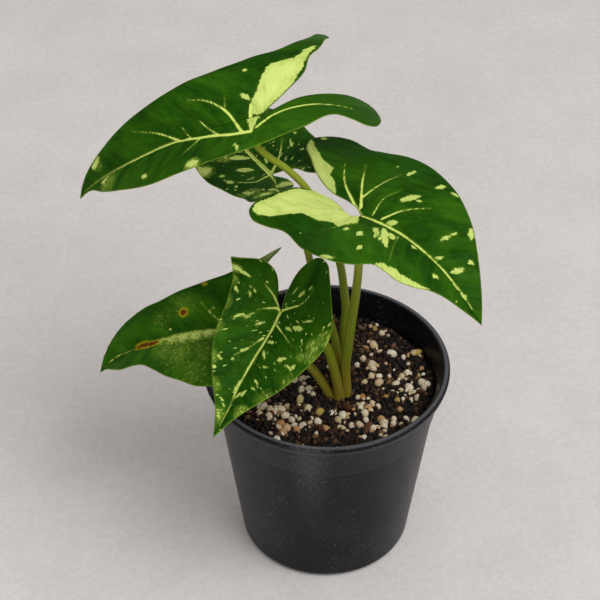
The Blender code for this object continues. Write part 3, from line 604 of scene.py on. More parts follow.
def make_blade_mesh(name, leaf, step, thickness, material):
    """A thin closed blade with sunk veins above, raised veins below and its markings as attributes."""
    rows, faces = flat_leaf(leaf, step)
    along, out, side = rows.T
    across = side * out
    middle = blade_surface(leaf, along, out, side)
    sheet = bpy.data.meshes.new("sheet")
    sheet.from_pydata(middle.tolist(), [], faces)
    normals = np.empty(len(rows) * 3)
    sheet.vertex_normals.foreach_get("vector", normals)
    normals = normals.reshape(-1, 3)
    bpy.data.meshes.remove(sheet)

    triangles = np.array(faces)
    pairs = np.sort(np.concatenate((triangles[:, :2], triangles[:, 1:], triangles[:, ::2])), axis=1)
    unique, counts = np.unique(pairs, axis=0, return_counts=True)
    margin = np.zeros(len(rows), bool)
    margin[unique[counts == 1].ravel()] = True

    veins, cream, mottled, brown = marking_depths(name, along, across, side)
    tree = KDTree(int(margin.sum()))
    for i in np.flatnonzero(margin):
        tree.insert((along[i], across[i], 0.0), int(i))
    tree.balance()
    from_margin = np.array([tree.find((a, c, 0.0))[2] for a, c in zip(along, across)])
    order = vein_order(along, out)
    near_vein = np.abs(order - np.round(order)) * VEIN_SPACING * 0.8
    rib = np.exp(-(out / (1.1 - 0.6 * np.clip(along / leaf["length"], 0.0, 1.0))) ** 2) * (along > -1.0)
    width = np.where(side > 0, leaf["left"]["width"], leaf["right"]["width"])
    fade = np.clip(1.15 - np.abs(out) / width, 0.0, 1.0) * np.clip(-veins / 3.0, 0.25, 1.0)
    side_rib = np.exp(-(near_vein / 0.7) ** 2) * fade
    pale_rib = np.exp(-(np.maximum(-veins, 0.0) / 0.6) ** 2)
    puff = (1.0 - np.exp(-(near_vein / 2.0) ** 2)) * fade
    ripple = np.array([noise.noise(Vector((a * 0.07, c * 0.07, leaf["length"]))) for a, c in zip(along, across)])
    wave = 0.9 * ripple * np.clip(np.abs(out) / width, 0.0, 1.0)
    slimming = 1.0 - 0.7 * np.clip(along / leaf["length"], 0.0, 1.0)
    above = thickness * 0.5 + 0.45 * puff - 0.15 * side_rib - 0.18 * rib - 0.1 * pale_rib
    below = thickness * 0.5 - 0.45 * puff + 0.15 * side_rib + 0.55 * rib * slimming
    centre = middle + normals * wave[:, None]
    top = np.where(margin[:, None], centre, centre + normals * above[:, None])
    inner = np.flatnonzero(~margin)
    bottom = centre[inner] - normals[inner] * below[inner, None]
    lower = np.arange(len(rows))
    lower[inner] = len(rows) + np.arange(len(inner))

    mesh = bpy.data.meshes.new(name)
    mesh.from_pydata((np.concatenate((top, bottom)) * MM).tolist(), [],
                     faces + [[int(lower[i]) for i in f[::-1]] for f in faces])
    mesh.materials.append(material)
    mesh.shade_smooth()
    under = np.concatenate((margin * 0.5, np.ones(len(inner))))
    ribs = np.maximum(np.maximum(side_rib, rib), 0.0)
    for label, values in (("vein", veins), ("cream", cream), ("mottled", mottled), ("brown", brown),
                          ("ribs", ribs), ("margin", from_margin)):
        data = mesh.attributes.new(label, "FLOAT", "POINT").data
        data.foreach_set("value", np.concatenate((values, values[inner])).astype(np.float32))
    mesh.attributes.new("under", "FLOAT", "POINT").data.foreach_set("value", under.astype(np.float32))
    grain = np.stack((order * VEIN_SPACING, out, side * 50.0), axis=-1)
    grain = np.concatenate((grain, grain[inner])).astype(np.float32)
    mesh.attributes.new("grain", "FLOAT_VECTOR", "POINT").data.foreach_set("vector", grain.ravel())
    return mesh


def marbling_group():
    """Colour, gloss and relief of a marbled blade, from the depths stored on its mesh."""
    tree, given, result = new_group(
        "marbled_blade", "ShaderNodeTree",
        (("Seed", "NodeSocketFloat", 0.0), ("Specks", "NodeSocketFloat", 0.2),
         ("Deep Green", "NodeSocketColor", None), ("Fresh Green", "NodeSocketColor", None),
         ("Cream", "NodeSocketColor", None), ("Lime", "NodeSocketColor", None), ("Vein", "NodeSocketColor", None),
         ("Underside", "NodeSocketColor", None)),
        (("Color", "NodeSocketColor"), ("Roughness", "NodeSocketFloat"), ("Height", "NodeSocketFloat")))
    grain = attribute(tree, "grain", "Vector")
    shift = add_node(tree, "ShaderNodeCombineXYZ", {"Z": given.outputs["Seed"]}).outputs[0]
    grain = add_node(tree, "ShaderNodeVectorMath", {0: grain, 1: shift}, operation="ADD").outputs[0]
    long_grain = scaled(tree, grain, (1.0, 0.45, 1.0))

    ragged = speckle(tree, long_grain, 2.4, detail=2.0)
    jagged = speckle(tree, scaled(tree, grain, (1.0, 0.3, 1.0)), 0.55, detail=3.0, roughness=0.6)
    ragged = calc(tree, "MULTIPLY_ADD", ragged, 2.2, -1.1)
    ragged = calc(tree, "ADD", ragged, calc(tree, "MULTIPLY_ADD", jagged, 1.8, -0.9))
    teeth = speckle(tree, grain, 1.3, detail=4.0, roughness=0.7)
    teeth = calc(tree, "MULTIPLY_ADD", teeth, 2.2, -1.1)
    cream_depth = calc(tree, "ADD", attribute(tree, "cream"), calc(tree, "ADD", ragged, teeth))
    cream = edge(tree, cream_depth, -0.1, 0.08)
    halo = edge(tree, cream_depth, -0.8, 0.2)
    vein_depth = calc(tree, "ADD", attribute(tree, "vein"), calc(tree, "MULTIPLY", ragged, 0.22))
    vein = edge(tree, vein_depth, -0.2, 0.06)
    vein_halo = edge(tree, vein_depth, -0.8, 0.1)

    wobble = add_node(tree, "ShaderNodeTexNoise", {"Vector": long_grain, "Scale": 0.9}).outputs["Color"]
    wobbled = add_node(tree, "ShaderNodeVectorMath", {0: wobble, 1: (1.6, 1.6, 0.0), 2: long_grain},
                       operation="MULTIPLY_ADD").outputs[0]
    cells = add_node(tree, "ShaderNodeTexVoronoi", {"Vector": wobbled, "Scale": 0.75})
    chance = add_node(tree, "ShaderNodeSeparateColor", {0: cells.outputs["Color"]}).outputs[0]
    reach = calc(tree, "ADD", chance, calc(tree, "SUBTRACT", given.outputs["Specks"], 1.0))
    reach = calc(tree, "MULTIPLY", reach, 0.6)
    speck = edge(tree, calc(tree, "SUBTRACT", reach, cells.outputs["Distance"]), -0.02, 0.05)

    stippled = attribute(tree, "mottled")
    cloud = speckle(tree, scaled(tree, grain, (1.0, 0.6, 1.0)), 0.9, detail=3.0, roughness=0.6)
    stipple = edge(tree, calc(tree, "MULTIPLY_ADD", stippled, 0.22, cloud), 0.61, 0.67)
    zone = edge(tree, calc(tree, "MULTIPLY_ADD", ragged, 0.08, stippled), 0.0, 0.4)
    stipple = calc(tree, "MULTIPLY", stipple, edge(tree, zone, 0.0, 0.15))

    broad = speckle(tree, grain, 16.0, detail=3.0)
    fine = speckle(tree, grain, 2.2, detail=5.0, roughness=0.7)
    patchy = speckle(tree, scaled(tree, grain, (1.0, 0.65, 1.0)), 4.5, detail=6.0, roughness=0.7)
    green = blend(tree, edge(tree, broad, 0.35, 0.7), given.outputs["Deep Green"], given.outputs["Fresh Green"])
    shade = add_node(tree, "ShaderNodeMapRange", {"Value": patchy, "From Min": 0.3, "From Max": 0.7,
                                                  "To Min": 0.4, "To Max": 1.1}).outputs["Result"]
    shade = calc(tree, "MULTIPLY_ADD", fine, 0.6, shade)
    green = add_node(tree, "ShaderNodeVectorMath", {0: green, "Scale": shade}, operation="SCALE").outputs[0]
    green = blend(tree, calc(tree, "MULTIPLY", edge(tree, fine, 0.45, 0.75), 0.45), green,
                  given.outputs["Fresh Green"])
    green = blend(tree, calc(tree, "MULTIPLY", attribute(tree, "ribs"), 0.45), green, given.outputs["Fresh Green"])
    green = blend(tree, calc(tree, "MULTIPLY", zone, 0.3), green, given.outputs["Lime"])
    dots = blend(tree, calc(tree, "MULTIPLY", stippled, 0.85), given.outputs["Lime"], given.outputs["Cream"])
    dotted = calc(tree, "MULTIPLY", stipple, calc(tree, "MULTIPLY_ADD", stippled, 0.6, 0.35, clamp=True))
    green = blend(tree, dotted, green, dots)
    green = blend(tree, calc(tree, "MULTIPLY", halo, 0.35), green, given.outputs["Lime"])
    green = blend(tree, calc(tree, "MULTIPLY", vein_halo, 0.25), green, given.outputs["Lime"])
    washed = speckle(tree, scaled(tree, grain, (1.0, 0.22, 1.0)), 1.5, detail=5.0, roughness=0.65)
    washed = calc(tree, "MULTIPLY", edge(tree, washed, 0.46, 0.7), 0.5)
    pale = blend(tree, washed, given.outputs["Cream"], given.outputs["Lime"])
    crinkle = calc(tree, "MULTIPLY", edge(tree, patchy, 0.5, 0.75), 0.3)
    pale = blend(tree, crinkle, pale, given.outputs["Lime"])
    shallow = calc(tree, "MULTIPLY", edge(tree, cream_depth, 4.0, 0.5), 0.2)
    pale = blend(tree, shallow, pale, given.outputs["Lime"])
    colour = blend(tree, vein, green, given.outputs["Vein"])
    mask = calc(tree, "MAXIMUM", cream, calc(tree, "MULTIPLY", speck, 0.9))
    colour = blend(tree, mask, colour, pale)

    brown_depth = calc(tree, "MULTIPLY_ADD", ragged, 0.5, attribute(tree, "brown"))
    colour = blend(tree, calc(tree, "MULTIPLY", edge(tree, brown_depth, -1.3, 0.0), 0.7), colour,
                   srgb(168, 154, 26))
    colour = blend(tree, edge(tree, brown_depth, 0.0, 0.6), colour, srgb(112, 60, 18))
    colour = blend(tree, edge(tree, brown_depth, 0.8, 1.5), colour, srgb(72, 40, 16))
    rim = calc(tree, "MULTIPLY", edge(tree, attribute(tree, "margin"), 0.7, 0.1), 0.55)
    colour = blend(tree, rim, colour, given.outputs["Lime"])

    below = blend(tree, calc(tree, "MULTIPLY", mask, 0.6), given.outputs["Underside"], pale)
    below = blend(tree, calc(tree, "MULTIPLY", attribute(tree, "ribs"), 0.4), below, given.outputs["Lime"])
    under = edge(tree, attribute(tree, "under"), 0.5, 0.9)
    colour = blend(tree, under, colour, below)
    tree.links.new(colour, result.inputs["Color"])

    gloss = calc(tree, "MULTIPLY_ADD", fine, 0.12, 0.34)
    gloss = calc(tree, "MULTIPLY_ADD", under, 0.22, gloss)
    tree.links.new(gloss, result.inputs["Roughness"])
    pores = speckle(tree, grain, 0.5, detail=2.0)
    height = calc(tree, "MULTIPLY_ADD", pores, 0.25, calc(tree, "MULTIPLY", fine, 0.6))
    height = calc(tree, "SUBTRACT", height, calc(tree, "MULTIPLY", vein, 0.5))
    height = calc(tree, "MULTIPLY_ADD", mask, -0.12, height)
    swell = speckle(tree, long_grain, 3.0, detail=2.0)
    height = calc(tree, "MULTIPLY_ADD", swell, 1.6, height)
    tree.links.new(height, result.inputs["Height"])
    return tree


def blade_material(name, group, settings):
    seed, specks = SPECKLING[name]
    material, tree, shader = new_material(name.replace("leaf", "marbled"), 0.4, 0.02)
    marbled = use_group(tree, group, {
        "Seed": seed, "Specks": specks, "Deep Green": (*settings.deep_green, 1.0),
        "Fresh Green": (*settings.fresh_green, 1.0), "Cream": (*settings.cream, 1.0),
        "Lime": (*settings.lime, 1.0), "Vein": (*settings.vein, 1.0), "Underside": (*settings.underside, 1.0)})
    tree.links.new(marbled.outputs["Color"], shader.inputs["Base Color"])
    tree.links.new(marbled.outputs["Roughness"], shader.inputs["Roughness"])
    add_bump(tree, shader, marbled.outputs["Height"], 0.00028)
    return material


def seat_point(leaf):
    """Where a stalk's end meets its blade from below, and the blade's normal there."""
    along, out = leaf["seat"]
    places = np.array(((along, out, 1), (along + 0.1, out, 1), (along, out + 0.1, 1), (along, out + 0.1, -1)))
    middle, ahead, left, right = blade_surface(leaf, places[:, 0], places[:, 1], places[:, 2])
    aside = left - middle
    if out == 0.0:
        aside = aside + middle - right
    normal = Vector(np.cross(ahead - middle, aside)).normalized()
    return Vector(middle), normal


def stalk_route(name, step):
    """The whole route of a stalk from inside the soil into its blade's underside."""
    end, normal = seat_point(LEAVES[name])
    route = [Vector(p) for p in STALKS[name][1]] + [end - normal * 4.0, end]
    return smooth_line(route, step)


def stalk_tree(material):
    """Geometry Nodes: a fleshy tube along a route, with a swollen foot, soft ridges and a seat."""
    tree, given, result = new_group(
        "fleshy_stalk", "GeometryNodeTree",
        (("Geometry", "NodeSocketGeometry", None), ("Foot Radius", "NodeSocketFloat", 0.0025),
         ("Top Radius", "NodeSocketFloat", 0.0015), ("Flare", "NodeSocketFloat", 0.2),
         ("Sides", "NodeSocketInt", 24), ("Ridges", "NodeSocketFloat", 0.00008)),
        (("Geometry", "NodeSocketGeometry"),))
    part = add_node(tree, "GeometryNodeSplineParameter").outputs["Factor"]
    marked = add_node(tree, "GeometryNodeStoreNamedAttribute",
                      {"Geometry": given.outputs["Geometry"], "Name": "along", "Value": part},
                      data_type="FLOAT", domain="POINT")
    taper = add_node(tree, "ShaderNodeMapRange", {"Value": part, "From Min": 0.0, "From Max": 1.0,
                                                  "To Min": given.outputs["Foot Radius"],
                                                  "To Max": given.outputs["Top Radius"]}).outputs["Result"]
    foot = calc(tree, "POWER", calc(tree, "SUBTRACT", 1.0, part), 12.0)
    seat = calc(tree, "POWER", part, 30.0)
    swell = calc(tree, "MULTIPLY_ADD", foot, given.outputs["Flare"], 1.0)
    swell = calc(tree, "MULTIPLY_ADD", seat, 0.25, swell)
    ring = add_node(tree, "GeometryNodeCurvePrimitiveCircle",
                    {"Resolution": given.outputs["Sides"], "Radius": 1.0})
    ring = add_node(tree, "GeometryNodeStoreNamedAttribute",
                    {"Geometry": ring.outputs["Curve"], "Name": "around",
                     "Value": add_node(tree, "GeometryNodeInputPosition").outputs[0]},
                    data_type="FLOAT_VECTOR", domain="POINT")
    tube = add_node(tree, "GeometryNodeCurveToMesh",
                    {"Curve": marked.outputs["Geometry"], "Profile Curve": ring.outputs["Geometry"],
                     "Scale": calc(tree, "MULTIPLY", taper, swell), "Fill Caps": True})
    place = add_node(tree, "GeometryNodeInputNamedAttribute", {"Name": "around"}, data_type="FLOAT_VECTOR")
    rise = calc(tree, "MULTIPLY", add_node(tree, "GeometryNodeInputNamedAttribute", {"Name": "along"},
                                           data_type="FLOAT").outputs["Attribute"], 3.0)
    drift = add_node(tree, "ShaderNodeCombineXYZ", {"Z": rise}).outputs[0]
    field = add_node(tree, "ShaderNodeVectorMath", {0: place.outputs["Attribute"], 1: (2.2, 2.2, 0.0), 2: drift},
                     operation="MULTIPLY_ADD").outputs[0]
    ridge = add_node(tree, "ShaderNodeTexNoise", {"Vector": field, "Scale": 1.0, "Detail": 3.0}).outputs["Fac"]
    ridge = calc(tree, "MULTIPLY", calc(tree, "SUBTRACT", ridge, 0.5), given.outputs["Ridges"])
    push = add_node(tree, "ShaderNodeVectorMath", {0: add_node(tree, "GeometryNodeInputNormal").outputs[0],
                                                   "Scale": ridge}, operation="SCALE").outputs[0]
    shaped = add_node(tree, "GeometryNodeSetPosition", {"Geometry": tube.outputs["Mesh"], "Offset": push})
    finish_tree(tree, shaped.outputs["Geometry"], result, material)
    return tree


def finish_tree(tree, geometry, result, material):
    """Ends a tree with smooth shading, real copies and its material."""
    smooth = add_node(tree, "GeometryNodeSetShadeSmooth", {"Geometry": geometry})
    real = add_node(tree, "GeometryNodeRealizeInstances", {"Geometry": smooth.outputs["Geometry"]})
    coated = add_node(tree, "GeometryNodeSetMaterial",
                      {"Geometry": real.outputs["Geometry"], "Material": material})
    tree.links.new(coated.outputs["Geometry"], result.inputs["Geometry"])


def route_curve(name, points):
    curve = bpy.data.curves.new(name, "CURVE")
    curve.dimensions = "3D"
    spline = curve.splines.new("POLY")
    spline.points.add(len(points) - 1)
    for dot, place in zip(spline.points, points):
        dot.co = (*(place * MM), 1.0)
    return curve


def stalk_material(settings):
    """Olive green flesh with pale streaks, browner and drier towards the soil."""
    material, tree, shader = new_material("fleshy_stalk", 0.42, 0.14)
    place = object_place(tree)
    around = attribute(tree, "around", "Vector")
    height = add_node(tree, "ShaderNodeSeparateXYZ", {0: place}).outputs["Z"]
    run = add_node(tree, "ShaderNodeCombineXYZ", {"Z": calc(tree, "MULTIPLY", height, 22.0)}).outputs[0]
    streak = add_node(tree, "ShaderNodeVectorMath", {0: around, 1: (3.5, 3.5, 0.0), 2: run},
                      operation="MULTIPLY_ADD").outputs[0]
    streaks = speckle(tree, streak, 1.0, detail=3.0)
    blotch = speckle(tree, place, 0.012, detail=3.0)
    flesh = calc(tree, "MULTIPLY", edge(tree, streaks, 0.35, 0.7), 0.6)
    flesh = blend(tree, flesh, (*settings.olive, 1.0), (*settings.pale_olive, 1.0))
    high = calc(tree, "MULTIPLY", edge(tree, height, 0.145, 0.2), 0.75)
    flesh = blend(tree, high, flesh, (*settings.pale_olive, 1.0))
    low = calc(tree, "ADD", edge(tree, height, 0.150, 0.090), calc(tree, "MULTIPLY", blotch, 0.5))
    browned = blend(tree, calc(tree, "MULTIPLY", edge(tree, low, 0.55, 1.3), 0.45), flesh, (*settings.russet, 1.0))
    spots = speckle(tree, scaled(tree, place, (1.0, 1.0, 0.5)), 0.0016, detail=4.0, roughness=0.7)
    browned = blend(tree, calc(tree, "MULTIPLY", edge(tree, spots, 0.5, 0.7), 0.45), browned,
                    (*settings.russet, 1.0))
    tree.links.new(browned, shader.inputs["Base Color"])
    tree.links.new(calc(tree, "MULTIPLY_ADD", streaks, 0.2, 0.32), shader.inputs["Roughness"])
    add_bump(tree, shader, calc(tree, "MULTIPLY_ADD", spots, 0.4, streaks), 0.00014)
    return material


def inner_radius(height):
    """Radius of the pot's inner wall at a height."""
    if height >= COLLAR_FOOT:
        t = (height - COLLAR_FOOT) / (COLLAR_TOP - COLLAR_FOOT)
        return COLLAR_FOOT_RADIUS - WALL + t * (COLLAR_TOP_RADIUS - COLLAR_FOOT_RADIUS)
    t = height / COLLAR_FOOT
    return BODY_FOOT_RADIUS - WALL + t * (BODY_TOP_RADIUS - BODY_FOOT_RADIUS)


def arc(centre_r, centre_z, radius, start, end, steps):
    points = []
    for i in range(steps + 1):
        angle = math.radians(start + (end - start) * i / steps)
        points.append((centre_r + radius * math.cos(angle), centre_z + radius * math.sin(angle)))
    return points


def pot_profile():
    """The wall's section from the inner floor's middle, over the rim and down to the foot's middle."""
    lip_r = RIM_RADIUS - LIP_RADIUS
    lip_z = POT_HEIGHT - LIP_RADIUS
    corner = FLOOR + FLOOR_CHAMFER
    step = COLLAR_FOOT - STEP_HEIGHT
    inside_wall = [(0.0, FLOOR), (inner_radius(FLOOR) - FLOOR_CHAMFER, FLOOR), (inner_radius(corner), corner)]
    inside_wall += [(inner_radius(step), step), (inner_radius(COLLAR_FOOT), COLLAR_FOOT)]
    inside_wall += [(inner_radius(COLLAR_TOP), COLLAR_TOP)]
    lip = arc(lip_r, lip_z, LIP_RADIUS, 180.0, -35.0, 20)
    under = [(RIM_RADIUS - 0.7, COLLAR_TOP + 1.4), (RIM_RADIUS - 1.5, COLLAR_TOP + 0.5)]
    under += [(COLLAR_TOP_RADIUS + 1.2, COLLAR_TOP + 0.1), (COLLAR_TOP_RADIUS + 0.4, COLLAR_TOP - 0.3)]
    collar = [(COLLAR_TOP_RADIUS - 0.05, COLLAR_TOP - 1.2), (COLLAR_FOOT_RADIUS, COLLAR_FOOT + 0.5)]
    collar += [(COLLAR_FOOT_RADIUS - 0.25, COLLAR_FOOT - 0.1), (BODY_TOP_RADIUS + 0.1, step), (BODY_TOP_RADIUS - 0.1, step - 1.0)]
    foot = arc(BODY_FOOT_RADIUS - FOOT_ROUNDING, FOOT_ROUNDING, FOOT_ROUNDING, 0.0, -90.0, 10)
    return inside_wall + lip + under + collar + foot + [(0.0, 0.0)]


def turned_pot_tree(material):
    """Geometry Nodes: turns the wall's section about Z and cuts the ring of drain holes."""
    tree, given, result = new_group(
        "turned_pot", "GeometryNodeTree",
        (("Geometry", "NodeSocketGeometry", None), ("Turn Radius", "NodeSocketFloat", TURN_RADIUS * MM),
         ("Sides", "NodeSocketInt", 192), ("Drain Holes", "NodeSocketInt", DRAIN_HOLES),
         ("Drain Circle", "NodeSocketFloat", DRAIN_CIRCLE * MM), ("Drain Radius", "NodeSocketFloat", DRAIN_RADIUS * MM)),
        (("Geometry", "NodeSocketGeometry"),))
    track = add_node(tree, "GeometryNodeCurvePrimitiveCircle",
                     {"Resolution": given.outputs["Sides"], "Radius": given.outputs["Turn Radius"]})
    wall = add_node(tree, "GeometryNodeCurveToMesh",
                    {"Curve": track.outputs["Curve"], "Profile Curve": given.outputs["Geometry"]})
    wall = add_node(tree, "GeometryNodeMergeByDistance", {"Geometry": wall.outputs["Mesh"], "Distance": 0.00001})
    spots = add_node(tree, "GeometryNodeMeshCircle", {"Vertices": given.outputs["Drain Holes"],
                                                      "Radius": given.outputs["Drain Circle"]})
    drill = add_node(tree, "GeometryNodeMeshCylinder", {"Vertices": 32, "Radius": given.outputs["Drain Radius"],
                                                        "Depth": 0.012})
    drills = add_node(tree, "GeometryNodeInstanceOnPoints", {"Points": spots.outputs["Mesh"],
                                                             "Instance": drill.outputs["Mesh"]})
    drills = add_node(tree, "GeometryNodeRealizeInstances", {"Geometry": drills.outputs["Instances"]})
    cut = add_node(tree, "GeometryNodeMeshBoolean", {"Mesh 1": wall.outputs["Geometry"],
                                                     "Mesh 2": drills.outputs["Geometry"]},
                   operation="DIFFERENCE", solver="EXACT")
    finish_tree(tree, cut.outputs["Mesh"], result, material)
    return tree


def pot_material(settings):
    """Thin black plastic with a soft sheen, hairline drag marks and a little dust, and painted highlights on a
    scratched front band and along the lip.
    """
    material, tree, shader = new_material("black_plastic", settings.roughness, 0.2)
    place = object_place(tree)
    drag = scaled(tree, place, (1.0, 1.0, 0.12))
    drag = speckle(tree, drag, 0.0016, detail=4.0, roughness=0.6)
    haze = speckle(tree, place, 0.024, detail=4.0, roughness=0.6)
    grit = speckle(tree, place, 0.0008, detail=2.0, roughness=0.6)
    grit = edge(tree, grit, 0.64, 0.70)
    height = add_node(tree, "ShaderNodeSeparateXYZ", {0: place}).outputs["Z"]
    dusty = calc(tree, "MULTIPLY", grit, edge(tree, haze, 0.4, 0.6))
    dusty = calc(tree, "MULTIPLY", dusty, 0.7)
    # A band up the front wall, a little left of centre, is lightened with the dust colour through scratch marks: a
    # painted highlight on scratched plastic.
    sides = add_node(tree, "ShaderNodeSeparateXYZ", {0: place})
    bearing = calc(tree, "ARCTAN2", sides.outputs["X"], calc(tree, "MULTIPLY", sides.outputs["Y"], -1.0))
    from_highlight_band = calc(tree, "ABSOLUTE", calc(tree, "ADD", bearing, 0.14))
    scratch = add_node(tree, "ShaderNodeCombineXYZ", {"X": calc(tree, "MULTIPLY", bearing, 40.0),
                                                      "Y": calc(tree, "MULTIPLY", height, 900.0)}).outputs[0]
    scratch = speckle(tree, scratch, 1.0, detail=4.0, roughness=0.7)
    scuffs_and_painted_highlight = calc(tree, "MULTIPLY", edge(tree, from_highlight_band, 0.24, 0.0), edge(tree, scratch, 0.3, 0.75))
    scuffs_and_painted_highlight = calc(tree, "MULTIPLY", scuffs_and_painted_highlight, edge(tree, height, 0.03, 0.098))
    film = calc(tree, "MULTIPLY", edge(tree, haze, 0.4, 0.75), edge(tree, height, 0.112, 0.02))
    plain = blend(tree, calc(tree, "MULTIPLY", film, 0.35), (*settings.black, 1.0), (*settings.film, 1.0))
    plain = blend(tree, calc(tree, "MULTIPLY", scuffs_and_painted_highlight, 0.32), plain, (*settings.dust, 1.0))
    # The top of the lip is lightened with the dust colour as a painted highlight, and is also made glossier.
    glossy_lip_painted_highlight = edge(tree, height, 0.1066, 0.107)
    plain = blend(tree, calc(tree, "MULTIPLY", glossy_lip_painted_highlight, 0.35), plain, (*settings.dust, 1.0))
    colour = blend(tree, dusty, plain, (*settings.dust, 1.0))
    tree.links.new(colour, shader.inputs["Base Color"])
    rough = calc(tree, "MULTIPLY_ADD", drag, 0.14, settings.roughness - 0.07)
    rough = calc(tree, "MULTIPLY_ADD", dusty, 0.4, rough)
    rough = calc(tree, "MULTIPLY_ADD", glossy_lip_painted_highlight, -0.15, rough)
    tree.links.new(rough, shader.inputs["Roughness"])
    add_bump(tree, shader, calc(tree, "MULTIPLY_ADD", grit, 0.5, drag), 0.00006)
    return material


def soil_height(x, y):
    """Height of the rough soil at a place, both in millimetres; it lies low round the crown."""
    rough = noise.noise(Vector((x, y, 0.0)) / SOIL_LUMP)
    fine = noise.noise(Vector((x, y, SOIL_TOP)) / SOIL_CRUMB)
    from_crown = math.hypot(x - CROWN_CENTRE[0], y - CROWN_CENTRE[1])
    fade = min(1.0, max(0.0, (from_crown - HOLE_RADIUS) / SOIL_LUMP))
    return SOIL_TOP + SOIL_ROUGHNESS * (rough + 0.5 * fine) * fade


def soil_mesh(rings, sides, clear=0.0, foot=None, spots=()):
    """The rough top of the soil, open round the crown if asked, and closed down to a foot if given.

    Its density is 1 all over, or low with a few rich spots.
    """
    edge_radius = inner_radius(SOIL_TOP) - GAP
    shape = bmesh.new()
    loops = []
    for k in range(1, rings + 1):
        reach = edge_radius * k / rings
        loop = []
        for i in range(sides):
            angle = 2.0 * math.pi * i / sides
            x = reach * math.cos(angle)
            y = reach * math.sin(angle)
            crumbs = 0.5 * noise.noise(Vector((x, y, 5.0))) + 0.3 * noise.noise(Vector((x, y, 9.0)) * 2.1)
            crumbs += 1.1 * noise.noise(Vector((x, y, 2.0)) / SOIL_CRUMB)
            loop.append(shape.verts.new(Vector((x, y, soil_height(x, y) + crumbs)) * MM))
        loops.append(loop)
    middle = shape.verts.new(Vector((0.0, 0.0, soil_height(0.0, 0.0))) * MM)
    for i in range(sides):
        shape.faces.new((middle, loops[0][i], loops[0][(i + 1) % sides]))
    if foot is not None:
        for height in (SOIL_TOP - 4.0, foot):
            reach = inner_radius(height) - 2.0 * GAP
            loops.append([shape.verts.new(Vector((reach * math.cos(2.0 * math.pi * i / sides),
                                                  reach * math.sin(2.0 * math.pi * i / sides), height)) * MM)
                          for i in range(sides)])
        shape.faces.new(loops[-1][::-1])
    for inner, outer in zip(loops, loops[1:]):
        for i in range(sides):
            j = (i + 1) % sides
            shape.faces.new((inner[i], outer[i], outer[j], inner[j]))
    if clear:
        centre = Vector((*CROWN_CENTRE, SOIL_TOP)) * MM
        near = [f for f in shape.faces if (f.calc_center_median() - centre).length < clear * MM
                or f.calc_center_median().xy.length > (edge_radius - 1.0) * MM]
        bmesh.ops.delete(shape, geom=near, context="FACES")
    mesh = bpy.data.meshes.new("soil_top")
    shape.to_mesh(mesh)
    shape.free()
    mesh.shade_smooth()
    density = mesh.attributes.new("density", "FLOAT", "POINT").data
    for vertex, entry in zip(mesh.vertices, density):
        x, y = vertex.co.x / MM, vertex.co.y / MM
        rich = [math.exp(-((x - a) ** 2 + (y - b) ** 2) / radius ** 2) for a, b, radius in spots]
        entry.value = min(1.0, POOR_SOIL + sum(rich)) if spots else 1.0
    return mesh


